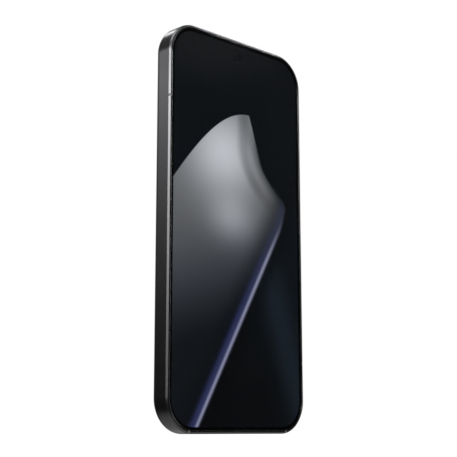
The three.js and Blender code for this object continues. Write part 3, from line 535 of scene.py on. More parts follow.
class Effects:
    """The shared surface effects, each a node group that is built once."""

    made: dict[str, bpy.types.NodeTree] = {}

    @classmethod
    def _start(cls, name: str, inputs: dict[str, str], outputs: dict[str, str]) -> tuple[Wiring, dict, dict]:
        """Opens a new group.

        Args:
            name: The group's name.
            inputs: Socket type by input name.
            outputs: Socket type by output name.

        Returns:
            The wiring, the inputs' sockets and the outputs' sockets.
        """
        tree = bpy.data.node_groups.new(name, "ShaderNodeTree")
        for label, kind in inputs.items():
            tree.interface.new_socket(label, in_out="INPUT", socket_type=kind)
        for label, kind in outputs.items():
            tree.interface.new_socket(label, in_out="OUTPUT", socket_type=kind)
        cls.made[name] = tree
        wiring = Wiring(tree)
        entry, leave = wiring.add("NodeGroupInput"), wiring.add("NodeGroupOutput")
        return wiring, {s.name: s for s in entry.outputs}, {s.name: s for s in leave.inputs}

    @classmethod
    def tone(cls) -> bpy.types.NodeTree:
        """Uneven colour and gloss: soft clouds with a finer mottle in them."""
        if "tone" not in cls.made:
            wanted = {"Place": "NodeSocketVector", "Colour": "NodeSocketColor"}
            numbers = {key: "NodeSocketFloat" for key in ("Colour spread", "Roughness", "Gloss spread", "Scale")}
            given = {"Colour": "NodeSocketColor", "Roughness": "NodeSocketFloat"}
            wiring, inputs, outputs = cls._start("tone", wanted | numbers, given)
            broad = wiring.noise(inputs["Place"], inputs["Scale"], 3.0)
            fine = wiring.noise(inputs["Place"], wiring.times(inputs["Scale"], 7.3), 2.0)
            cloud = wiring.plus(wiring.times(broad, 1.3), wiring.times(fine, 0.7), -1.0)
            level = wiring.plus(1.0, wiring.times(cloud, inputs["Colour spread"]))
            wiring.feed(outputs["Colour"], wiring.mix(1.0, inputs["Colour"], wiring.grey(level), "MULTIPLY"))
            rough = wiring.plus(inputs["Roughness"], wiring.times(cloud, inputs["Gloss spread"]))
            wiring.feed(outputs["Roughness"], rough)
        return cls.made["tone"]

    @classmethod
    def grain(cls) -> bpy.types.NodeTree:
        """The height of a fine blasted or moulded grain, in millimetres."""
        if "grain" not in cls.made:
            inputs = {"Place": "NodeSocketVector", "Pitch": "NodeSocketFloat", "Depth": "NodeSocketFloat"}
            wiring, given, outputs = cls._start("grain", inputs, {"Height": "NodeSocketFloat"})
            pits = wiring.add("ShaderNodeTexVoronoi", feature="SMOOTH_F1")
            wiring.feed(pits.inputs["Vector"], given["Place"])
            wiring.feed(pits.inputs["Scale"], wiring.sum("DIVIDE", 1.0, given["Pitch"]))
            rough = wiring.noise(given["Place"], wiring.sum("DIVIDE", 2.6, given["Pitch"]), 2.0)
            relief = wiring.plus(wiring.times(pits.outputs["Distance"], 0.6), wiring.times(rough, 0.5))
            wiring.feed(outputs["Height"], wiring.times(relief, given["Depth"]))
        return cls.made["grain"]

    @classmethod
    def touch(cls) -> bpy.types.NodeTree:
        """Faint smears and specks of handling, as extra roughness."""
        if "touch" not in cls.made:
            inputs = {"Place": "NodeSocketVector", "Amount": "NodeSocketFloat"}
            wiring, given, outputs = cls._start("touch", inputs, {"Roughness": "NodeSocketFloat"})
            smear = wiring.span(wiring.noise(given["Place"], 0.045, 4.0), 0.5, 0.72)
            speck = wiring.span(wiring.noise(given["Place"], 2.4, 1.0), 0.74, 0.8)
            marks = wiring.plus(smear, wiring.times(speck, 0.5))
            wiring.feed(outputs["Roughness"], wiring.times(marks, given["Amount"]))
        return cls.made["touch"]


# ------------------------------------------------------------------ finishes


@dataclass(frozen=True)
class Finish:
    """A surface of one material; its fields are what a maker would ask for."""

    name: str
    colour: Colour
    roughness: float
    metallic: float = 0.0
    colour_spread: float = 0.12
    gloss_spread: float = 0.06
    cloud: float = 9.0
    pitch: float = 0.12
    depth: float = 0.002
    touch: float = 0.0
    coat: float = 0.0
    coat_roughness: float = 0.05
    transmission: float = 0.0
    index: float = 1.5
    film: float = 0.0

    def material(self) -> bpy.types.Material:
        """The finish as a material, made the first time that it is asked for."""
        found = bpy.data.materials.get(self.name)
        if found:
            return found
        made = bpy.data.materials.new(self.name)
        made.use_nodes = True
        made.node_tree.nodes.clear()
        wiring = Wiring(made.node_tree)
        shader = wiring.add("ShaderNodeBsdfPrincipled")
        output = wiring.add("ShaderNodeOutputMaterial")
        wiring.feed(output.inputs["Surface"], shader.outputs[0])
        plain = {
            "Metallic": self.metallic,
            "Coat Weight": self.coat,
            "Coat Roughness": self.coat_roughness,
            "Transmission Weight": self.transmission,
            "IOR": self.index,
            "Thin Film Thickness": self.film,
        }
        for key, value in plain.items():
            shader.inputs[key].default_value = value
        self.dress(wiring, shader, wiring.position())
        return made

    def pattern(self, wiring: Wiring, place: bpy.types.NodeSocket) -> object:
        """The colour before its unevenness; finishes with a drawn pattern change it."""
        return self.colour

    def relief(self, wiring: Wiring, place: bpy.types.NodeSocket) -> bpy.types.NodeSocket:
        """The height of the surface, in millimetres."""
        return wiring.place(Effects.grain(), Place=place, Pitch=self.pitch, Depth=self.depth)["Height"]

    def dress(self, wiring: Wiring, shader: bpy.types.Node, place: bpy.types.NodeSocket) -> None:
        """Wires colour, roughness and bump.

        Args:
            wiring: The material's wiring.
            shader: Its Principled node.
            place: The point on the surface, in millimetres.
        """
        tone = wiring.place(
            Effects.tone(),
            Place=place,
            Colour=self.pattern(wiring, place),
            Colour_spread=self.colour_spread,
            Roughness=self.roughness,
            Gloss_spread=self.gloss_spread,
            Scale=1 / self.cloud,
        )
        wiring.feed(shader.inputs["Base Color"], tone["Colour"])
        rough = tone["Roughness"]
        if self.touch:
            smears = wiring.place(Effects.touch(), Place=place, Amount=self.touch)["Roughness"]
            rough = wiring.plus(rough, smears)
        wiring.feed(shader.inputs["Roughness"], wiring.sum("MAXIMUM", rough, 0.0))
        if self.depth:
            bump = wiring.add("ShaderNodeBump")
            bump.inputs["Distance"].default_value = MM
            wiring.feed(bump.inputs["Height"], self.relief(wiring, place))
            wiring.feed(shader.inputs["Normal"], bump.outputs[0])


@dataclass(frozen=True)
class RadialFinish(Finish):
    """A finish with a pattern of rings round an axis along the depth."""

    centre: Pair = (0.0, 0.0)

    def radius(self, wiring: Wiring, place: bpy.types.NodeSocket) -> bpy.types.NodeSocket:
        """The distance from the axis, in millimetres."""
        x, _, z = wiring.split(place)
        across = wiring.sum("POWER", wiring.sum("SUBTRACT", x, self.centre[0]), 2.0)
        up = wiring.sum("POWER", wiring.sum("SUBTRACT", z, self.centre[1]), 2.0)
        return wiring.sum("SQRT", wiring.plus(across, up))


@dataclass(frozen=True)
class LensWithPaintedReflections(RadialFinish):
    """Coated glass over a dark iris. The tint changes from the middle outwards as a painted reflection ring, and a
    thin brighter ring in it is a painted highlight.
    """

    reach: float = 2.5
    tint: Colour = (0.02, 0.03, 0.09)

    def pattern(self, wiring: Wiring, place: bpy.types.NodeSocket) -> object:
        """A black pupil, then a painted reflection ring in the coating's tint that fades to black at the rim, and a
        thin brighter ring in it as a painted highlight.
        """
        radius = self.radius(wiring, place)
        # The tinted ring is a painted reflection: the coating's tint, bright between the pupil and the rim.
        inner = wiring.span(radius, 0.18 * self.reach, 0.42 * self.reach)
        outer = wiring.span(radius, 0.62 * self.reach, 0.95 * self.reach, 1.0, 0.0)
        ring = wiring.mix(wiring.times(inner, outer), (0.001, 0.001, 0.002), self.tint)
        # A thin ring at about a third of the reach is painted 3.2 times brighter: a painted highlight.
        glint = wiring.span(radius, 0.3 * self.reach, 0.34 * self.reach)
        edge = wiring.times(glint, wiring.span(radius, 0.36 * self.reach, 0.4 * self.reach, 1.0, 0.0))
        return wiring.mix(edge, ring, tuple(3.2 * c for c in self.tint))


@dataclass(frozen=True)
class WindingFinish(RadialFinish):
    """Turns of wire laid side by side round an axis."""

    turn: float = 0.9

    def relief(self, wiring: Wiring, place: bpy.types.NodeSocket) -> bpy.types.NodeSocket:
        """A round back for every turn."""
        phase = wiring.sum("PINGPONG", self.radius(wiring, place), self.turn / 2)
        return wiring.times(wiring.sum("SQRT", phase), self.depth)


@dataclass(frozen=True)
class HatchFinish(Finish):
    """A woven or perforated sheet: two crossed sets of threads."""

    thread: float = 0.16

    def _weave(self, wiring: Wiring, place: bpy.types.NodeSocket) -> bpy.types.NodeSocket:
        """How near the surface is to the middle of a thread, from 0 to 1."""
        x, y, z = wiring.split(place)
        turn = 2 * math.pi / self.thread
        rise = wiring.sum("SINE", wiring.times(wiring.plus(x, y), turn))
        fall = wiring.sum("SINE", wiring.times(wiring.plus(wiring.sum("SUBTRACT", x, y), z), turn))
        return wiring.span(wiring.sum("MAXIMUM", rise, fall), -0.4, 0.9)

    def pattern(self, wiring: Wiring, place: bpy.types.NodeSocket) -> object:
        """Painted shade: the gaps between the threads are drawn near black."""
        # The near-black gap colour is painted shade in the recesses between the threads.
        return wiring.mix(self._weave(wiring, place), (0.002, 0.002, 0.002), self.colour)

    def relief(self, wiring: Wiring, place: bpy.types.NodeSocket) -> bpy.types.NodeSocket:
        """Threads that stand up from the gaps."""
        return wiring.times(self._weave(wiring, place), self.depth)


@dataclass(frozen=True)
class CircuitFinish(Finish):
    """Lacquered circuit material with faint tracks and plated dots."""

    track: Colour = (0.02, 0.11, 0.07)
    pad: Colour = (0.55, 0.36, 0.12)

    def pattern(self, wiring: Wiring, place: bpy.types.NodeSocket) -> object:
        """Tracks from a stepped noise, and dots at cell centres."""
        cells = wiring.add("ShaderNodeTexVoronoi", feature="F1", distance="CHEBYCHEV")
        wiring.feed(cells.inputs["Vector"], place)
        cells.inputs["Scale"].default_value = 0.8
        flow = wiring.add("ShaderNodeTexVoronoi", feature="DISTANCE_TO_EDGE", distance="EUCLIDEAN")
        wiring.feed(flow.inputs["Vector"], place)
        flow.inputs["Scale"].default_value = 0.5
        tracks = wiring.span(flow.outputs["Distance"], 0.05, 0.09, 1.0, 0.0)
        dots = wiring.span(cells.outputs["Distance"], 0.1, 0.14, 1.0, 0.0)
        return wiring.mix(dots, wiring.mix(tracks, self.colour, self.track), self.pad)


@dataclass(frozen=True)
class BrushedFinish(Finish):
    """Rolled or brushed metal, with its lines along the height."""

    def relief(self, wiring: Wiring, place: bpy.types.NodeSocket) -> bpy.types.NodeSocket:
        """Long shallow lines."""
        x, y, z = wiring.split(place)
        drawn = wiring.add("ShaderNodeCombineXYZ")
        for target, value in zip(drawn.inputs, (x, y, wiring.times(z, 0.03))):
            wiring.feed(target, value)
        return wiring.times(wiring.noise(drawn.outputs[0], 1 / self.pitch, 3.0), self.depth)


@dataclass(frozen=True)
class BatteryWrap(Finish):
    """A dull wrap with a lighter band across its head and soft creases."""

    band: Pair = (88.0, 94.0)

    def pattern(self, wiring: Wiring, place: bpy.types.NodeSocket) -> object:
        """The band lies between two heights."""
        height = wiring.split(place)[2]
        start = wiring.span(height, self.band[0], self.band[0] + 0.3)
        end = wiring.span(height, self.band[1] - 0.3, self.band[1], 1.0, 0.0)
        return wiring.mix(wiring.times(start, end), self.colour, tuple(4 * c for c in self.colour))


@dataclass(frozen=True)
class Wallpaper(Finish):
    """A lit panel that shows a folded petal of light: a soft abstract picture."""

    corner: Pair = (0.0, 0.0)
    peak: Pair = (41.6, 123.1)
    shoulder: float = 60.0
    lean: float = 1.75
    ridge_head: Pair = (64.6, 89.8)
    ridge_foot: Pair = (15.4, 3.6)
    ridge_hook: float = 2.9
    strength: float = 1.0

    def _bell(self, wiring: Wiring, value: Value, centre: Value, width: Value) -> bpy.types.NodeSocket:
        """A soft bell round a centre."""
        share = wiring.sum("DIVIDE", wiring.sum("SUBTRACT", value, centre), width)
        return wiring.sum("EXPONENT", wiring.times(wiring.times(share, share), -1.0))

    def picture(self, wiring: Wiring, place: bpy.types.NodeSocket) -> bpy.types.NodeSocket:
        """Draws the picture.

        Args:
            wiring: The material's wiring.
            place: The point on the panel, in millimetres.

        Returns:
            Its colour.
        """
        x, _, z = wiring.split(place)
        u = wiring.sum("SUBTRACT", x, self.corner[0])
        v = wiring.sum("SUBTRACT", z, self.corner[1])
        head, foot = Vector(self.ridge_head), Vector(self.ridge_foot)
        run = (foot - head).length
        along = (foot - head) / run
        side = Vector((along.y, -along.x))
        du = wiring.sum("SUBTRACT", u, head.x)
        dv = wiring.sum("SUBTRACT", v, head.y)
        down = wiring.plus(wiring.times(du, along.x), wiring.times(dv, along.y))
        share = wiring.sum("DIVIDE", down, run)
        hook = wiring.sum("POWER", wiring.span(share, 0.14, 0.0, soft=False), 2.0)
        hook = wiring.times(hook, -self.ridge_hook)
        left = wiring.plus(wiring.times(du, side.x), wiring.times(dv, side.y), hook)
        away = wiring.times(wiring.sum("SUBTRACT", u, self.peak[0]), self.lean)
        droop = wiring.sum("SQRT", wiring.plus(wiring.times(away, away), self.shoulder**2))
        under = wiring.sum("SUBTRACT", wiring.sum("SUBTRACT", self.peak[1] + self.shoulder, droop), v)
        drop = wiring.sum("SUBTRACT", self.peak[1], v)
        flick = wiring.sum("POWER", wiring.span(drop, 18.0, 32.0, soft=False), 2.0)
        edge = wiring.plus(self.peak[0], wiring.times(drop, 0.37), wiring.times(flick, 8.6))
        within = wiring.sum("SUBTRACT", edge, u)

        petal = wiring.times(
            wiring.span(under, 0.0, 0.3),
            wiring.span(within, 0.0, wiring.span(drop, 2.0, 20.0, 0.3, 2.0)),
            wiring.span(left, 0.0, 1.2),
        )
        height = wiring.sum("SUBTRACT", v, wiring.times(u, 0.32))
        dusk = wiring.span(height, 28.0, 92.0, 0.004, 0.125)
        top = wiring.times(self._bell(wiring, u, 28.0, 18.0), self._bell(wiring, v, 106.0, 16.0), 0.44)
        glow = wiring.times(self._bell(wiring, u, 32.0, 11.0), self._bell(wiring, v, 81.0, 8.5), 0.19)
        sag = wiring.sum("POWER", wiring.sum("MAXIMUM", wiring.plus(drop, -12.0), 0.0), 2.0)
        beyond = wiring.plus(u, -36.6, wiring.times(sag, -0.0245))
        crease = wiring.plus(wiring.span(beyond, -3.0, 1.5, 0.0, -0.4), wiring.span(beyond, 2.5, 6.5, 0.0, 0.25))
        crease = wiring.times(crease, wiring.span(drop, 40.0, 26.0))
        turned = wiring.span(within, 0.0, 7.0, wiring.span(drop, 0.0, 16.0, 1.0, 0.35), 1.0)
        grey = wiring.times(wiring.plus(dusk, top, glow), wiring.plus(1.0, crease), turned)
        shadow = wiring.span(left, 1.5, 14.0, 0.25, 1.0)
        grey = wiring.times(grey, shadow)

        width = wiring.span(share, 0.0, 1.0, 1.0, 0.85, soft=False)
        core = self._bell(wiring, left, 0.3, wiring.times(width, 0.8))
        band = self._bell(wiring, left, wiring.times(width, 2.2), wiring.times(width, 1.9))
        fold = wiring.plus(wiring.times(wiring.sum("SUBTRACT", u, 62.0), 0.9), wiring.times(v, 0.3), -10.0)
        fold = wiring.times(self._bell(wiring, fold, 0.0, 7.0), wiring.span(v, 80.0, 45.0), 0.01)
        ink = wiring.plus(wiring.times(self._bell(wiring, v, 85.0, 42.0), 0.0034), 0.0012)
        ink = wiring.times(wiring.plus(ink, fold), wiring.span(left, -9.0, -0.5, 1.0, 0.35))
        ink = wiring.plus(ink, wiring.times(wiring.span(left, 0.0, 3.0), 0.0015))
        base = wiring.mix(1.0, wiring.grey(ink), (0.55, 1.0, 1.55), "MULTIPLY")
        tint = wiring.mix(wiring.span(height, 30.0, 78.0), (0.8, 0.95, 1.2), (0.96, 1.0, 1.06))
        petal_colour = wiring.mix(1.0, wiring.grey(wiring.times(grey, petal)), tint, "MULTIPLY")
        lit = wiring.mix(1.0, base, petal_colour, "ADD")
        band_light = wiring.times(band, wiring.span(share, 0.0, 0.7, 0.035, 0.1))
        line = wiring.mix(1.0, wiring.grey(band_light), (0.22, 0.27, 0.9), "MULTIPLY")
        bright = wiring.span(share, 0.05, 0.3, 0.02, 0.27)
        edge_light = wiring.mix(1.0, wiring.grey(wiring.times(core, bright)), (0.85, 0.88, 1.25), "MULTIPLY")
        inside = wiring.span(share, 0.0, 0.04)
        return wiring.mix(inside, lit, wiring.mix(1.0, lit, wiring.mix(1.0, line, edge_light, "ADD"), "ADD"))

    def dress(self, wiring: Wiring, shader: bpy.types.Node, place: bpy.types.NodeSocket) -> None:
        """Adds the picture as light to the plain dressing."""
        super().dress(wiring, shader, place)
        wiring.feed(shader.inputs["Emission Color"], self.picture(wiring, place))
        shader.inputs["Emission Strength"].default_value = self.strength


@dataclass(frozen=True)
class Palette:
    """Every plain finish of the phone."""

    frame: Finish = Finish("anodised frame", (0.2, 0.2, 0.208), 0.22, 1.0, 0.05, 0.03, 14.0, 0.09, 0.0012, 0.03)
    keys: Finish = Finish("anodised keys", (0.21, 0.21, 0.218), 0.27, 1.0, 0.05, 0.03, 6.0, 0.09, 0.001, 0.05)
    band: Finish = Finish("antenna line", (0.26, 0.262, 0.27), 0.4, 0.0, 0.1, 0.05, 3.0, 0.1, 0.001)
    cover: Finish = Finish(
        "cover glass", (1.0, 1.0, 1.0), 0.0, 0.0, 0.01, 0.004, 30.0, depth=0.0, touch=0.02, transmission=1.0
    )
    border: Finish = Finish("border ink", (0.003, 0.003, 0.0035), 0.35, 0.0, 0.2, 0.05, 5.0, 0.1, 0.0005, index=1.1)
    stack: Finish = Finish("display layers", (0.03, 0.03, 0.034), 0.3, 0.3, 0.1, 0.05, 8.0, 0.3, 0.001)
    rear: Finish = Finish(
        "etched rear glass", (0.03, 0.031, 0.035), 0.3, 0.0, 0.1, 0.03, 22.0, 0.07, 0.0009, 0.05, 0.25, 0.28
    )
    island: Finish = Finish("island metal", (0.12, 0.121, 0.127), 0.3, 1.0, 0.06, 0.04, 12.0, 0.08, 0.001, 0.05)
    trim: Finish = Finish("lens trim", (0.24, 0.24, 0.25), 0.18, 1.0, 0.04, 0.03, 4.0, 0.2, 0.0006, 0.02)
    pane: Finish = Finish(
        "lens window", (0.96, 0.97, 1.0), 0.0, 0.0, 0.01, 0.003, 8.0, depth=0.0, touch=0.015, transmission=1.0
    )
    mask: Finish = Finish("baffle black", (0.004, 0.004, 0.004), 0.55, 0.0, 0.2, 0.08, 2.0, 0.1, 0.002)
    barrel: Finish = Finish("barrel black", (0.012, 0.012, 0.013), 0.38, 0.2, 0.15, 0.06, 2.0, 0.12, 0.002)
    steel: Finish = BrushedFinish("satin steel", (0.42, 0.425, 0.43), 0.28, 1.0, 0.08, 0.06, 4.0, 0.05, 0.001)
    screws: Finish = Finish("screw steel", (0.36, 0.36, 0.37), 0.3, 1.0, 0.12, 0.08, 1.0, 0.06, 0.001)
    shield: Finish = BrushedFinish("tinned shield", (0.55, 0.555, 0.56), 0.34, 1.0, 0.08, 0.1, 6.0, 0.16, 0.002)
    plastic: Finish = Finish("moulded plastic", (0.02, 0.021, 0.022), 0.55, 0.0, 0.15, 0.08, 5.0, 0.14, 0.004)
    gold: Finish = Finish("gold plate", (0.78, 0.52, 0.2), 0.25, 1.0, 0.08, 0.06, 1.0, 0.05, 0.0008)
    adhesive: Finish = Finish("black foam", (0.008, 0.008, 0.008), 0.85, 0.0, 0.3, 0.05, 2.0, 0.12, 0.012)
    board: Finish = CircuitFinish("circuit board", (0.01, 0.05, 0.035), 0.42, 0.0, 0.1, 0.06, 6.0, 0.3, 0.004)
    flex: Finish = CircuitFinish(
        "flex film", (0.3, 0.13, 0.03), 0.3, 0.0, 0.1, 0.05, 5.0, 0.4, 0.003, track=(0.42, 0.2, 0.05)
    )
    graphite: Finish = BrushedFinish("graphite film", (0.035, 0.036, 0.038), 0.5, 0.3, 0.2, 0.08, 5.0, 0.3, 0.003)
    battery: Finish = BatteryWrap("battery wrap", (0.03, 0.031, 0.034), 0.45, 0.1, 0.1, 0.08, 12.0, 2.4, 0.02)
    card: Finish = Finish("card body", (0.7, 0.7, 0.71), 0.45, 0.0, 0.03, 0.04, 4.0, 0.2, 0.001)
    mesh: Finish = HatchFinish("acoustic mesh", (0.05, 0.05, 0.052), 0.5, 0.6, 0.1, 0.06, 2.0, 0.1, 0.03)
    cone: Finish = Finish("diaphragm film", (0.05, 0.05, 0.055), 0.28, 0.0, 0.1, 0.06, 4.0, 0.9, 0.01)
    sensor: Finish = Finish("sensor glass", (0.01, 0.02, 0.03), 0.12, 0.0, 0.1, 0.03, 3.0, 0.2, 0.0008, 0, 1.0)
    phosphor: Finish = Finish("lamp phosphor", (0.85, 0.62, 0.12), 0.5, 0.0, 0.1, 0.05, 0.5, 0.06, 0.004)
    lamp_lens: Finish = Finish(
        "lamp lens", (0.97, 0.96, 0.9), 0.05, 0.0, 0.02, 0.02, 2.0, 0.1, 0.0004, transmission=1.0, index=1.47
    )


# ------------------------------------------------------------------ the phone


@dataclass
class FrameBand:
    """The metal band with its chamfer and rim, its openings, and the plastic breaks in it."""

    finishes: Palette
    corner_radius: float = 12.6
    chamfer: float = 0.6
    rim: float = 0.5
    wall: float = 1.7
    ledge: float = 2.25
    plate_front: float = -3.45
    plate_back: float = -2.8
    plate_cut: Pair = (-5.0, -2.0)
    glass_seat: float = -4.3
    flare: float = 0.12
    opening_depth: float = 3.0
    key_gap: float = 0.2
    port_gap: float = 0.3
    break_gap: float = 0.012
    hole_radius: float = 0.65
    hole_pitch: float = 2.3
    holes: int = 6
    microphone_radius: float = 0.45
    microphones: Pair = (-7.175, 11.825)
    slit: Pair = (10.0, 0.3)
    key_length: dict[str, float] = field(default_factory=lambda: {"power_key": 10.0, "volume_key": 22.0})
    key_width: float = 2.2
    breaks: tuple[str, ...] = (
        "antenna_break_left",
        "antenna_break_right_upper",
        "antenna_break_right_lower",
        "antenna_break_bottom_left",
        "antenna_break_bottom_right",
    )

    def __post_init__(self) -> None:
        """Takes the outline from the CAD frame."""
        self.box = box_of("mid_frame")
        centre = self.box.centre
        width = 2 * (centre.x - self.box.low.x)
        self.cover_centre = box_of("rear_cover").plan(Axis.Y)[0]
        self.outline = Plan(self.cover_centre, (width, self.box.size.z), self.corner_radius, Axis.Y, 40)
        self.port_y = box_of("usb_shell").centre.y

    def _blank(self) -> Shape:
        """The band before anything is cut in it."""
        front, back = self.box.low.y, self.box.high.y
        seat = self.chamfer + self.rim
        corners = [
            (0.0, back, 0.05),
            (0.0, front + self.chamfer, 0.1),
            (self.chamfer, front, 0.45),
            (seat, front, 0.05),
            (seat, self.glass_seat, 0.0),
            (self.ledge, self.glass_seat, 0.0),
            (self.ledge, self.plate_back, 0.0),
            (self.wall, self.plate_back, 0.0),
            (self.wall, back, 0.0),
        ]
        return Shape.raised(self.outline, profile(corners, closed=True), hollow=True)

    def _break_tool(self, node: str, gap: float) -> Shape:
        """The box that a break fills, wider by a gap."""
        box = box_of(node)
        low, high = box.low.copy(), box.high.copy()
        if "bottom" in node:
            low.x, high.x, low.z, high.z = low.x - gap, high.x + gap, -1.0, self.wall + gap
        else:
            low.z, high.z = low.z - gap, high.z + gap
            outward = -1.0 if box.centre.x < 0 else 1.0
            low.x, high.x = sorted((outward * 40.0, box.high.x + gap if outward < 0 else box.low.x - gap))
        plan = Plan.rectangle((low.x, low.z), (high.x, high.z))
        return Shape.raised(plan, [(0.0, low.y - 1.0), (0.0, high.y + 1.0)])

    def _openings(self) -> list[Shape]:
        """The tools for every slot and hole through the band."""
        right = self.cover_centre[0] + self.outline.size[0] / 2
        head, depth, gap = self.box.high.z, self.opening_depth, self.port_gap
        tools = []
        for node, length in self.key_length.items():
            centre = box_of(node).plan(Axis.X)[0]
            plan = Plan.pill(centre, (self.key_width + self.key_gap, length + self.key_gap), Axis.X)
            tools.append(Shape.raised(plan, flared(right, right - self.opening_depth, self.flare)))
        socket, tray = box_of("usb_shell"), box_of("sim_tray")
        for port, flare in ((socket, self.flare), (tray, self.flare / 2)):
            plan = Plan.pill(port.plan(Axis.Z)[0], (port.size.x + gap, port.size.y + gap), Axis.Z)
            tools.append(Shape.raised(plan, flared(0.0, depth, flare)))
        middle = box_of("speaker_mesh").centre.x
        for index in range(self.holes):
            x = middle + (index - (self.holes - 1) / 2) * self.hole_pitch
            plan = Plan.disc((x, self.port_y), self.hole_radius, Axis.Z)
            tools.append(Shape.raised(plan, flared(0.0, depth, self.flare)))
        for x, outside, inside in zip(self.microphones, (0.0, head), (depth, head - depth)):
            plan = Plan.disc((x, self.port_y), self.microphone_radius, Axis.Z, 8)
            tools.append(Shape.raised(plan, flared(outside, inside, self.flare / 2)))
        slit_foot = head - self.chamfer - self.rim - 0.1
        slit_head = slit_foot + self.slit[1] + 0.1
        centre_x = self.cover_centre[0]
        half = self.slit[0] / 2
        plan = Plan.rectangle((centre_x - half, slit_foot), (centre_x + half, slit_head), radius=0.12)
        tools.append(Shape.raised(plan, [(0.0, self.box.low.y - 1.0), (0.0, self.glass_seat - 0.02)]))
        return tools

    def _plate(self) -> Shape:
        """The plate inside the band, with the openings of what passes through it."""
        plate = Shape.raised(self.outline, [(self.wall - 0.2, self.plate_front), (self.wall - 0.2, self.plate_back)])
        camera = box_of("front_camera").plan(Axis.Y)
        sensor = box_of("fingerprint_sensor").plan(Axis.Y)
        flex = box_of("display_flex").plan(Axis.Y)
        through = [(0.0, height) for height in self.plate_cut]
        plans = [Plan(centre, (size[0] + 0.5, size[1] + 0.5), 0.3, Axis.Y, 3) for centre, size in (camera, sensor)]
        plans.append(Plan.rectangle((flex[0][0] - 6.5, 20.0), (flex[0][0] + 6.5, 23.0)))
        return plate.cut(*[Shape.raised(plan, through) for plan in plans])

    def build(self) -> None:
        """Makes the band, the plate inside it and the breaks."""
        blank = self._blank()
        for node in self.breaks:
            strip = blank.copy().keep(self._break_tool(node, -self.break_gap))
            strip.piece(node + "_insert", self.finishes.band, Slot.INSULATOR, replaces=[node])
        blank.cut(*[self._break_tool(node, self.break_gap) for node in self.breaks], *self._openings())
        plate = self._plate()
        blank.add(plate.mesh)
        plate.mesh.free()
        blank.piece("frame_band", self.finishes.frame, Slot.DARK_METAL, replaces=["mid_frame"])


@dataclass
class Front:
    """The cover glass, its black border, the lit panel and what looks through them."""

    finishes: Palette
    outline: Plan
    panel_inset: float = 2.35
    glass_inset: float = 1.15
    border_width: float = 1.3
    hole_radius: float = 2.0
    nose_radius: float = 1.65

    def _camera_place(self) -> Pair:
        """Where the front camera looks out."""
        return box_of("front_camera").plan(Axis.Y)[0]

    def _glass(self) -> None:
        """The cover glass, with its softly curved front edge."""
        box = box_of("cover_glass")
        front, back = box.low.y, box.high.y
        inset = self.glass_inset
        corners = [
            (inset + 0.05, back, 0.0),
            (inset, back, 0.05),
            (inset, front + 0.16, 0.16),
            (inset + 0.16, front, 0.16),
            (inset + 3.0, front, 0.0),
        ]
        shape = Shape.raised(self.outline, profile(corners, steps=5))
        shape.piece("cover_glass_pane", self.finishes.cover, Slot.FRONT_GLASS, replaces=["cover_glass"])

    def _border(self) -> None:
        """The printed border behind the glass, and the seal between its edge and the band."""
        box = box_of("cover_glass")
        low, high = box.high.y + 0.008, box.high.y + 0.022
        outer, wall = self.glass_inset - 0.045, self.glass_inset - 0.01
        inner, lip = self.glass_inset + self.border_width, box.low.y + 0.13
        stations = [(outer, lip), (wall, lip), (wall, low), (inner, low), (inner, high), (outer, high)]
        ring = Shape.raised(self.outline, stations, hollow=True)
        ring.piece("glass_border", self.finishes.border, Slot.ADHESIVE)

    def _panel(self) -> None:
        """The lit layer and the layers behind it, both with the camera's hole."""
        box = box_of("display_panel")
        face, back = box.low.y + 0.03, box.high.y
        hole = Plan.disc(self._camera_place(), self.hole_radius, steps=12)
        lit = Shape.raised(self.outline, [(self.panel_inset, face), (self.panel_inset, face + 0.12)])
        lit.cut(Shape.raised(hole, [(0.0, face - 1.0), (0.0, back + 1.0)]))
        box_low = self.outline.centre[0] - self.outline.size[0] / 2
        foot = self.outline.centre[1] - self.outline.size[1] / 2
        picture = Wallpaper("lit panel", (0.004, 0.004, 0.005), 0.3, depth=0.0, corner=(box_low, foot))
        lit.piece("display_picture", picture, Slot.DISPLAY, replaces=["display_panel"])
        layers = Shape.raised(
            self.outline,
            [(self.panel_inset, face + 0.14), (self.panel_inset, back - 0.1), (self.panel_inset + 0.1, back)],
        )
        layers.cut(Shape.raised(hole, [(0.0, face - 1.0), (0.0, back + 1.0)]))
        layers.piece("display_layers", self.finishes.stack, Slot.DISPLAY)

    def _camera(self) -> None:
        """The front camera: a module with a nose that holds a small domed lens."""
        box = box_of("front_camera")
        place, size = box.plan(Axis.Y)
        front, back = box.low.y, box.high.y
        module = Shape.raised(Plan(place, size, 0.6, Axis.Y, 4), edged(-2.9, back, 0.15, 0.15))
        nose = [
            (0.0, -2.95, 0.0),
            (0.0, front, 0.1),
            (0.55, front, 0.05),
            (0.6, front + 0.25, 0.05),
            (0.95, front + 0.7, 0.0),
        ]
        module.loft(Plan.disc(place, self.nose_radius, steps=10), profile(nose, steps=3))
        module.piece("front_camera_module", self.finishes.barrel, Slot.PLASTIC, replaces=["front_camera"])
        # This lens's colour holds a painted reflection ring and a painted highlight ring.
        coating = LensWithPaintedReflections(
            "front lens with painted reflections", (0.0, 0.0, 0.0), 0.03, depth=0.0, coat=1.0, coat_roughness=0.0,
            centre=place, reach=1.1, tint=(0.01, 0.014, 0.04),
        )
        dome = [(0.02, front + 0.6), (0.0, front + 0.45)]
        rise, radius = 0.34, 1.05
        dome += [(radius * (1 - math.cos(a)), front + 0.45 - rise * math.sin(a)) for a in (0.3, 0.6, 0.9, 1.2, 1.45)]
        lens = Shape.raised(Plan.disc(place, radius, steps=10), dome)
        lens.piece("front_camera_lens", coating, Slot.LENS)

    def _earpiece(self) -> None:
        """The mesh in the slit above the glass."""
        box = box_of("earpiece_mesh")
        place, size = box.plan(Axis.Y)
        mesh = Shape.raised(Plan(place, size, 0.08, Axis.Y, 3), edged(box.low.y, box.high.y, 0.03, 0.0))
        mesh.piece("earpiece_cloth", self.finishes.mesh, Slot.STEEL, replaces=["earpiece_mesh"])

    def build(self) -> None:
        """Makes the front of the phone."""
        self._glass()
        self._border()
        self._panel()
        self._camera()
        self._earpiece()


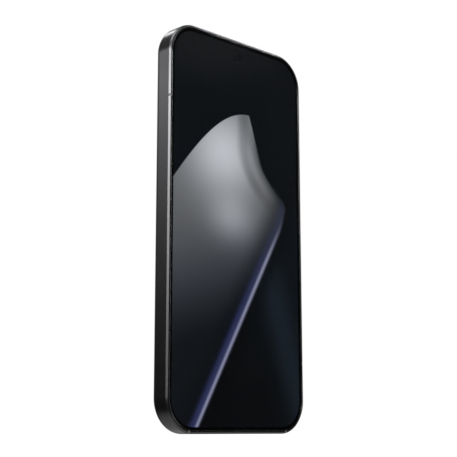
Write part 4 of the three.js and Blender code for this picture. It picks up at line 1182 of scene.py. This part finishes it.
@dataclass
class RearCover:
    """The curved rear glass with its opening for the camera island."""

    finishes: Palette
    outline: Plan
    island: Plan
    edge_radius: float = 1.85
    thickness: float = 0.7
    foot_width: float = 0.95
    island_gap: float = 0.1

    def build(self) -> None:
        """Makes the cover as one shell."""
        box = box_of("rear_cover")
        foot, back = box.low.y, box.high.y
        edge, thick = self.edge_radius, self.thickness
        inner = [(self.foot_width, foot, 0.1), (self.foot_width + 0.15, foot + 0.7, 0.5)]
        corners = [(edge + 0.6, back - thick, 0.0), *inner[::-1], (0.0, foot, 0.08)]
        shell = profile(corners, steps=4)
        turns = 12
        arc = [
            (edge * (1 - math.cos(a)), foot + edge * math.sin(a))
            for a in (step / turns * math.pi / 2 for step in range(1, turns + 1))
        ]
        shape = Shape.raised(self.outline, shell[:-1] + [(0.0, foot)] + arc)
        shape.cut(Shape.raised(self.island.grown(self.island_gap), flared(back, foot - 1.0, 0.08)))
        shape.piece("rear_glass", self.finishes.rear, Slot.REAR_GLASS, replaces=["rear_cover"])


@dataclass
class LensUnit:
    """One rear camera: a trim ring, a window, a mask behind it, a barrel and its front element."""

    finishes: Palette
    name: str
    body: Body
    aperture: float
    tint: Colour
    trim_width: float = 0.62
    proud: float = 5.18

    def build(self) -> None:
        """Makes the five pieces of the camera."""
        glass, barrel = box_of("lens_glass_" + self.name), box_of("lens_barrel_" + self.name)
        place, size = glass.plan(Axis.Y)
        outer, front = size[0] / 2, glass.low.y
        ring = Plan.disc(place, outer, steps=20)
        width = self.trim_width
        trim = [
            (0.0, front, 0.0),
            (0.0, self.proud, 0.1),
            (width * 0.45, self.proud, 0.1),
            (width, self.proud - 0.3, 0.05),
            (width, front, 0.0),
        ]
        made = Shape.raised(ring, profile(trim, closed=True), hollow=True)
        replaced = ["lens_glass_" + self.name]
        made.piece("lens_ring_" + self.name, self.finishes.trim, Slot.DARK_METAL, replaces=replaced)
        window = Plan.disc(place, outer - width - 0.03, steps=20)
        pane = Shape.raised(window, edged(front + 0.02, glass.high.y - 0.14, 0.05, 0.08))
        pane.piece("lens_window_" + self.name, self.finishes.pane, Slot.LENS)
        mask = [(0.05, front - 0.06), (1.75, front - 0.06), (1.75, front - 0.01), (0.05, front - 0.01)]
        Shape.raised(window, mask, hollow=True).piece("lens_mask_" + self.name, self.finishes.mask, Slot.LENS)
        self._barrel(barrel, place)

    def _barrel(self, barrel: Box, place: Pair) -> None:
        """The focusing barrel: stepped inside, with the first element at its bottom."""
        radius, back, front = barrel.size.x / 2, barrel.low.y, barrel.high.y
        steps: list[Corner] = [(0.3, back, 0.0), (0.0, back, 0.15), (0.0, front, 0.12), (0.6, front, 0.05)]
        inset, depth = 0.65, front
        while radius - inset > self.aperture + 0.25:
            depth -= 0.22
            steps.append((inset, depth, 0.03))
            inset += 0.24
            steps.append((inset, depth, 0.03))
        steps += [(radius - self.aperture - 0.05, depth - 0.5, 0.0)]
        cup = Shape.raised(Plan.disc(place, radius, steps=16), profile(steps, steps=2))
        cup.piece("barrel_" + self.name, self.finishes.barrel, Slot.LENS, self.body, ["lens_barrel_" + self.name])
        # This element's colour holds a painted reflection ring and a painted highlight ring.
        coating = LensWithPaintedReflections(
            self.name + " lens with painted reflections", (0.0, 0.0, 0.0), 0.02, depth=0.0, coat=1.0, coat_roughness=0.0,
            film=420.0, centre=place, reach=self.aperture, tint=self.tint,
        )
        base = depth - 0.45
        rise = min(0.36 * self.aperture, front - base - 0.35)
        dome = [(0.02, base)]
        dome += [
            (self.aperture * (1 - math.cos(a)), base + 0.05 + rise * math.sin(a))
            for a in (0.0, 0.25, 0.5, 0.75, 1.0, 1.25, 1.48)
        ]
        lens = Shape.raised(Plan.disc(place, self.aperture, steps=16), dome)
        lens.piece("element_" + self.name, coating, Slot.LENS, self.body)


@dataclass
class CameraIsland:
    """The raised plate on the back, its three cameras and its lamp."""

    finishes: Palette
    corner_radius: float = 9.0
    flange: float = 1.2
    flange_thickness: float = 0.25
    edge: float = 0.4
    pocket_gap: float = 0.1
    bore_radius: float = 5.2

    def __post_init__(self) -> None:
        """Takes the outline from the CAD island."""
        self.box = box_of("camera_island")
        centre, size = self.box.plan(Axis.Y)
        visible = (size[0] - 2 * self.flange, size[1] - 2 * self.flange)
        self.outline = Plan(centre, visible, self.corner_radius, Axis.Y, 24)

    def _plate(self) -> None:
        """The plate, with a pocket and a bore for each camera and a cup for the lamp."""
        front, back = self.box.low.y, self.box.high.y
        shoulder = front + self.flange_thickness
        corners = [
            (-self.flange, front, 0.0),
            (-self.flange, shoulder, 0.0),
            (0.0, shoulder, 0.0),
            (0.0, back - self.edge, 0.15),
            (self.edge, back, 0.15),
            (self.edge + 1.0, back, 0.0),
        ]
        plate = Shape.raised(self.outline, profile(corners, steps=4))
        tools = []
        for name in ("main", "tele", "wide"):
            glass = box_of("lens_glass_" + name)
            place, size = glass.plan(Axis.Y)
            pocket = Plan.disc(place, size[0] / 2 + self.pocket_gap, steps=20)
            tools.append(Shape.raised(pocket, flared(back, glass.low.y - self.pocket_gap, 0.08)))
            tools.append(Shape.raised(Plan.disc(place, self.bore_radius, steps=16), [(0.0, 1.0), (0.0, 4.9)]))
        lamp = box_of("flash_lens")
        place, size = lamp.plan(Axis.Y)
        pocket = Plan.disc(place, size[0] / 2 + self.pocket_gap, steps=14)
        tools.append(Shape.raised(pocket, flared(back, lamp.low.y - self.pocket_gap, 0.06)))
        tools.append(Shape.raised(Plan.disc(place, 2.1), [(0.0, 4.9), (0.0, 4.3), (0.5, 3.5)]))
        plate.cut(*tools)
        plate.piece("island_plate", self.finishes.island, Slot.DARK_METAL, replaces=["camera_island"])

    def _lamp(self) -> None:
        """The lamp: a ribbed lens over two phosphor squares."""
        box = box_of("flash_lens")
        place, size = box.plan(Axis.Y)
        radius, low, high = size[0] / 2, box.low.y, box.high.y
        ribs: list[Pair] = [(0.05, low), (0.0, low + 0.05), (0.0, high - 0.05), (0.06, high)]
        reach = 0.3
        while reach < radius - 0.4:
            ribs += [(reach, high), (reach + 0.03, high - 0.09), (reach + 0.2, high - 0.01)]
            reach += 0.26
        lens = Shape.raised(Plan.disc(place, radius, steps=16), ribs)
        lens.piece("lamp_lens", self.finishes.lamp_lens, Slot.FLASH, replaces=["flash_lens"])
        for index, shift in enumerate((-0.62, 0.62)):
            square = Plan((place[0] + shift, place[1]), (1.05, 1.05), 0.15, Axis.Y, 3)
            chip = Shape.raised(square, edged(3.52, 3.85, 0.0, 0.06))
            chip.piece(f"lamp_chip_{index + 1}", self.finishes.phosphor, Slot.FLASH)

    def build(self) -> None:
        """Makes the island and everything in it."""
        self._plate()
        self._lamp()
        LensUnit(self.finishes, "main", Body.MAIN_LENS, 2.3, (0.02, 0.05, 0.11)).build()
        LensUnit(self.finishes, "tele", Body.TELE_LENS, 2.0, (0.06, 0.025, 0.09)).build()
        LensUnit(self.finishes, "wide", Body.PHONE, 2.7, (0.015, 0.06, 0.07)).build()


@dataclass
class Key:
    """A pill-shaped key with a soft edge and a flange behind the wall."""

    finishes: Palette
    node: str
    body: Body
    length: float
    width: float = 2.2
    flange: float = 0.65
    edge: float = 0.28

    def build(self) -> None:
        """Makes the key."""
        box = box_of(self.node)
        place = box.plan(Axis.X)[0]
        low, high = box.low.x, box.high.x
        cap = Plan.pill(place, (self.width, self.length), Axis.X, 12)
        crown = profile(
            [(0.0, low + 0.2, 0.0), (0.0, high - 0.03, self.edge), (self.edge + 0.12, high, 0.3), (0.9, high, 0.0)],
            steps=5,
        )
        made = Shape.raised(cap, crown)
        seat = Plan.pill(place, (box.size.y, box.size.z), Axis.X, 8)
        made.fuse(Shape.raised(seat, edged(low, low + 0.4, 0.05, 0.05)))
        made.piece(self.node + "_cap", self.finishes.keys, Slot.DARK_METAL, self.body, [self.node])


@dataclass
class CardTray:
    """The card tray: a pill-shaped face with a pinhole, and a frame that holds the card."""

    finishes: Palette
    face_length: float = 1.1
    body_thickness: float = 1.1
    body_offset: float = 0.7
    body_width: float = 10.4
    pinhole_offset: float = 5.7
    pinhole_radius: float = 0.45

    def build(self) -> None:
        """Makes the tray."""
        box, card = box_of("sim_tray"), box_of("sim_card")
        place, size = box.plan(Axis.Z)
        foot, head = box.low.z, box.high.z
        made = Shape.raised(Plan.pill(place, size, Axis.Z, 12), edged(foot, foot + self.face_length, 0.12, 0.05))
        inner = (place[0] + self.body_offset, place[1])
        frame_plan = Plan(inner, (self.body_width, self.body_thickness), 0.12, Axis.Z, 3)
        made.fuse(Shape.raised(frame_plan, edged(foot + self.face_length - 0.2, head, 0.0, 0.3)))
        card_place, card_size = card.plan(Axis.Y)
        pocket = Plan(card_place, (card_size[0] + 0.2, card_size[1] + 0.2), 0.9, Axis.Y, 5)
        pin = Plan.disc((place[0] - self.pinhole_offset, place[1]), self.pinhole_radius, Axis.Z, 10)
        made.cut(
            Shape.raised(pocket, [(0.0, card.low.y - 0.1), (0.0, 3.0)]),
            Shape.raised(pin, flared(foot, foot + 2.0, 0.06)),
        )
        made.piece("card_tray", self.finishes.frame, Slot.DARK_METAL, Body.TRAY, ["sim_tray"])


@dataclass
class Socket:
    """The charging socket: a rolled shell, its tongue and the contacts on it."""

    finishes: Palette
    wall: float = 0.3
    tongue: tuple[float, float] = (6.7, 0.7)
    contacts: int = 12
    contact_pitch: float = 0.5
    contact_size: Pair = (0.28, 0.06)

    def build(self) -> None:
        """Makes the socket."""
        box, tongue = box_of("usb_shell"), box_of("usb_tongue")
        place, size = box.plan(Axis.Z)
        foot, head, wall = box.low.z, box.high.z, self.wall
        corners = [
            (0.3, head, 0.0),
            (0.0, head, 0.25),
            (0.0, foot, 0.1),
            (wall, foot, 0.14),
            (wall, head - wall, 0.0),
            (wall + 0.2, head - wall, 0.0),
        ]
        shell = Shape.raised(Plan.pill(place, size, Axis.Z, 14), profile(corners, steps=4))
        shell.piece("socket_shell", self.finishes.steel, Slot.STEEL, replaces=["usb_shell"])
        low, high = tongue.low.z, tongue.high.z
        blade = Plan(place, self.tongue, 0.12, Axis.Z, 3)
        made = Shape.raised(blade, edged(low, high, 0.15, 0.0))
        made.loft(Plan.pill(place, (tongue.size.x, tongue.size.y), Axis.Z, 8), edged(high - 1.2, high, 0.1, 0.0))
        made.piece("socket_tongue", self.finishes.plastic, Slot.PLASTIC, replaces=["usb_tongue"])
        strips = Shape()
        for index in range(self.contacts):
            x = place[0] + (index - (self.contacts - 1) / 2) * self.contact_pitch
            for side in (-1, 1):
                y = place[1] + side * self.tongue[1] / 2
                plan = Plan((x, y), self.contact_size, 0.0, Axis.Z, 1)
                strips.loft(plan, [(0.0, low + 0.5), (0.0, low + 3.6)])
        strips.piece("socket_contacts", self.finishes.gold, Slot.COPPER)


@dataclass
class Grille:
    """The mesh behind the speaker holes."""

    finishes: Palette

    def build(self) -> None:
        """Makes the mesh."""
        box = box_of("speaker_mesh")
        place, size = box.plan(Axis.Z)
        mesh = Shape.raised(Plan.pill(place, size, Axis.Z, 8), edged(box.low.z, box.high.z, 0.04, 0.0))
        mesh.piece("speaker_cloth", self.finishes.mesh, Slot.STEEL, replaces=["speaker_mesh"])


@dataclass
class Inside:
    """The pieces inside the phone, which keep their CAD shapes and get their finishes."""

    finishes: Palette

    def _finish_of(self, node: str) -> Finish:
        """The finish of a CAD node, from what it is."""
        f = self.finishes
        chosen = {
            "front_gasket": f.adhesive,
            "rear_gasket": f.adhesive,
            "display_flex": f.flex,
            "battery_flex": f.flex,
            "board_flex": f.flex,
            "key_flex": f.flex,
            "heat_spreader": f.graphite,
            "coil_ferrite": f.graphite,
            "fingerprint_sensor": f.sensor,
            "earpiece": f.plastic,
            "top_bracket": f.plastic,
            "speaker_box": f.plastic,
            "speaker_diaphragm": f.cone,
            "main_board": f.board,
            "sub_board": f.board,
            "processor_shield": f.shield,
            "radio_shield": f.shield,
            "battery": f.battery,
            "sim_card": f.card,
        }
        if node == "charging_coil":
            place = box_of(node).plan(Axis.Y)[0]
            return WindingFinish("coil winding", (0.5, 0.2, 0.08), 0.3, 1.0, depth=0.12, centre=place)
        if node.startswith("bracket_screw"):
            return f.screws
        if node.startswith("camera_housing"):
            return f.shield
        return chosen.get(node, f.steel)

    def dress(self) -> None:
        """Gives every CAD node that still shows its finish."""
        for node, made in frame["nodes"].items():
            if made.hide_render:
                continue
            finish = self._finish_of(node)
            made.data.materials.clear()
            made.data.materials.append(finish.material())
            LOG.info("%s keeps its CAD shape, %s", node, finish.name)


# ------------------------------------------------------------------ the studio


@dataclass
class Sky:
    """The light of the room: one glow for each side, brighter with height."""

    name: str
    heading: Pair
    horizon: float
    rise: float
    reach: float = 0.35


@dataclass
class Lamp:
    """A soft rectangular lamp; its place is measured from the phone's middle, in metres."""

    name: str
    offset: Corner
    size: Pair
    watts: float


@dataclass
class Studio:
    """A pale floor, soft light and the camera."""

    floor_drop: float = 0.036
    floor_size: float = 9.0
    camera_offset: Vector = field(default_factory=lambda: Vector((-0.2409, -0.2798, 0.0013)))
    yaw: float = 44.06
    pitch: float = 10.88
    roll: float = -0.04
    lens: float = 82.75
    skies: tuple[Sky, ...] = (
        Sky("behind left", (-0.65, 0.757), 0.011, 14.0),
        Sky("camera side", (-0.76, -0.65), 0.2, 11.0),
        Sky("front right", (0.65, -0.757), 0.004, 3.0),
        Sky("behind right", (0.76, 0.65), 0.32, 1.5),
        Sky("right", (1.0, 0.0), 0.45, 2.0, 0.8),
    )
    lamps: tuple[Lamp, ...] = (
        Lamp("softbox behind", (0.25, 0.9, 0.75), (0.25, 0.45), 1.0),
        Lamp("small key", (0.63, -0.52, 0.58), (0.08, 0.08), 0.7),
        Lamp("softbox above", (-0.3, -0.5, 1.3), (0.9, 0.9), 3.0),
    )

    def _floor(self) -> None:
        """A wide round floor that shows white, and keeps most light out of the phone's reflections."""
        grid = bmesh.new()
        bmesh.ops.create_grid(grid, x_segments=24, y_segments=24, size=self.floor_size)
        mesh = bpy.data.meshes.new("floor")
        grid.to_mesh(mesh)
        grid.free()
        floor = bpy.data.objects.new("floor", mesh)
        bpy.context.scene.collection.objects.link(floor)
        floor.location.z = -self.floor_drop
        made = bpy.data.materials.new("pale floor")
        made.use_nodes = True
        made.node_tree.nodes.clear()
        wiring = Wiring(made.node_tree)
        place = wiring.position()
        matt = wiring.add("ShaderNodeBsdfDiffuse")
        shade = wiring.span(wiring.noise(place, 0.01, 3.0), 0.2, 0.8, 0.86, 0.9)
        wiring.feed(matt.inputs["Color"], wiring.grey(shade))
        seen, other = wiring.add("ShaderNodeEmission"), wiring.add("ShaderNodeEmission")
        mixed = wiring.add("ShaderNodeMixShader")
        seen.inputs["Strength"].default_value = 1.3
        x, y, _ = wiring.split(place)
        away = wiring.sum("SQRT", wiring.plus(wiring.times(x, x), wiring.times(y, y)))
        behind = wiring.sum("DIVIDE", wiring.plus(wiring.times(x, 0.7), wiring.times(y, 0.7)), away)
        far = wiring.span(behind, 0.35, 0.95, 0.02, 0.16)
        wiring.feed(other.inputs["Strength"], wiring.plus(far, wiring.span(away, 45.0, 125.0, 0.24, 0.0)))
        path = wiring.add("ShaderNodeLightPath")
        wiring.feed(mixed.inputs[0], path.outputs["Is Camera Ray"])
        wiring.feed(mixed.inputs[1], other.outputs[0])
        wiring.feed(mixed.inputs[2], seen.outputs[0])
        both = wiring.add("ShaderNodeMixShader")
        wiring.feed(both.inputs[0], wiring.times(path.outputs["Is Camera Ray"], 0.25))
        wiring.feed(both.inputs[1], mixed.outputs[0])
        wiring.feed(both.inputs[2], matt.outputs[0])
        wiring.feed(wiring.add("ShaderNodeOutputMaterial").inputs["Surface"], both.outputs[0])
        mesh.materials.append(made)

    def _world(self) -> None:
        """White to the camera; to everything else, a glow from each side that grows with height."""
        world = bpy.data.worlds.new("room")
        bpy.context.scene.world = world
        world.use_nodes = True
        world.node_tree.nodes.clear()
        wiring = Wiring(world.node_tree)
        direction = wiring.add("ShaderNodeTexCoord").outputs["Generated"]
        x, y, z = wiring.split(direction)
        rise = wiring.sum("MAXIMUM", z, -0.05)
        ceiling = wiring.span(z, 0.34, 0.44, 1.0, 0.06)
        total: Value = 0.0
        for sky in self.skies:
            toward = wiring.plus(wiring.times(x, sky.heading[0]), wiring.times(y, sky.heading[1]))
            share = wiring.span(toward, sky.reach, 1.0)
            growth = wiring.sum("EXPONENT", wiring.times(wiring.sum("MINIMUM", rise, 0.345), sky.rise))
            total = wiring.plus(total, wiring.times(share, growth, sky.horizon, ceiling))
        overhead = wiring.times(wiring.span(z, 0.4, 0.95), 0.2)
        total = wiring.plus(total, overhead, 0.008)
        glow, white = wiring.add("ShaderNodeBackground"), wiring.add("ShaderNodeBackground")
        wiring.feed(glow.inputs["Strength"], total)
        white.inputs["Color"].default_value = (1.0, 1.0, 1.0, 1.0)
        mixed = wiring.add("ShaderNodeMixShader")
        wiring.feed(mixed.inputs[0], wiring.add("ShaderNodeLightPath").outputs["Is Camera Ray"])
        wiring.feed(mixed.inputs[1], glow.outputs[0])
        wiring.feed(mixed.inputs[2], white.outputs[0])
        wiring.feed(wiring.add("ShaderNodeOutputWorld").inputs["Surface"], mixed.outputs[0])

    def _lamp(self, lamp: Lamp, target: Vector) -> None:
        """Hangs a lamp that the camera doesn't see.

        Args:
            lamp: The lamp.
            target: The phone's middle, which it faces, in metres.
        """
        data = bpy.data.lights.new(lamp.name, "AREA")
        data.shape, data.size, data.size_y, data.energy = "RECTANGLE", *lamp.size, lamp.watts
        made = bpy.data.objects.new(lamp.name, data)
        bpy.context.scene.collection.objects.link(made)
        made.location = target + Vector(lamp.offset)
        made.rotation_mode = "QUATERNION"
        made.rotation_quaternion = (target - made.location).to_track_quat("-Z", "Y")
        made.visible_camera = False

    def _camera(self, corner: Vector) -> None:
        """The camera, from the phone's lower front left corner."""
        data = bpy.data.cameras.new("camera")
        data.lens, data.sensor_width = self.lens, SENSOR_WIDTH
        data.clip_start, data.clip_end = 0.01, 60.0
        camera = bpy.data.objects.new("camera", data)
        bpy.context.scene.collection.objects.link(camera)
        turn = Matrix.Rotation(math.radians(-self.yaw), 4, "Z")
        tilt = Matrix.Rotation(math.radians(90 + self.pitch), 4, "X")
        spin = Matrix.Rotation(math.radians(self.roll), 4, "Z")
        camera.matrix_world = Matrix.Translation(corner + self.camera_offset) @ turn @ tilt @ spin
        bpy.context.scene.camera = camera

    def build(self, phone: Box) -> None:
        """Sets the stage round the phone.

        Args:
            phone: The phone's own box, in millimetres.
        """
        bpy.context.scene.view_settings.view_transform = "Standard"
        self._floor()
        self._world()
        middle = phone.centre * MM
        for lamp in self.lamps:
            self._lamp(lamp, middle)
        self._camera(phone.low * MM)


def main() -> None:
    """Builds the phone piece by piece, then the studio."""
    logging.basicConfig(level=logging.INFO, format="%(name)s: %(message)s")
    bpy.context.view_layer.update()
    finishes = Palette()
    band = FrameBand(finishes)
    band.build()
    Front(finishes, band.outline).build()
    island = CameraIsland(finishes)
    RearCover(finishes, band.outline, island.outline).build()
    island.build()
    Key(finishes, "power_key", Body.POWER_KEY, band.key_length["power_key"]).build()
    Key(finishes, "volume_key", Body.VOLUME_KEY, band.key_length["volume_key"]).build()
    CardTray(finishes).build()
    Socket(finishes).build()
    Grille(finishes).build()
    Inside(finishes).dress()
    Studio().build(box_of("mid_frame", "rear_cover", "camera_island", "cover_glass"))


if __name__ == "__main__":
    main()
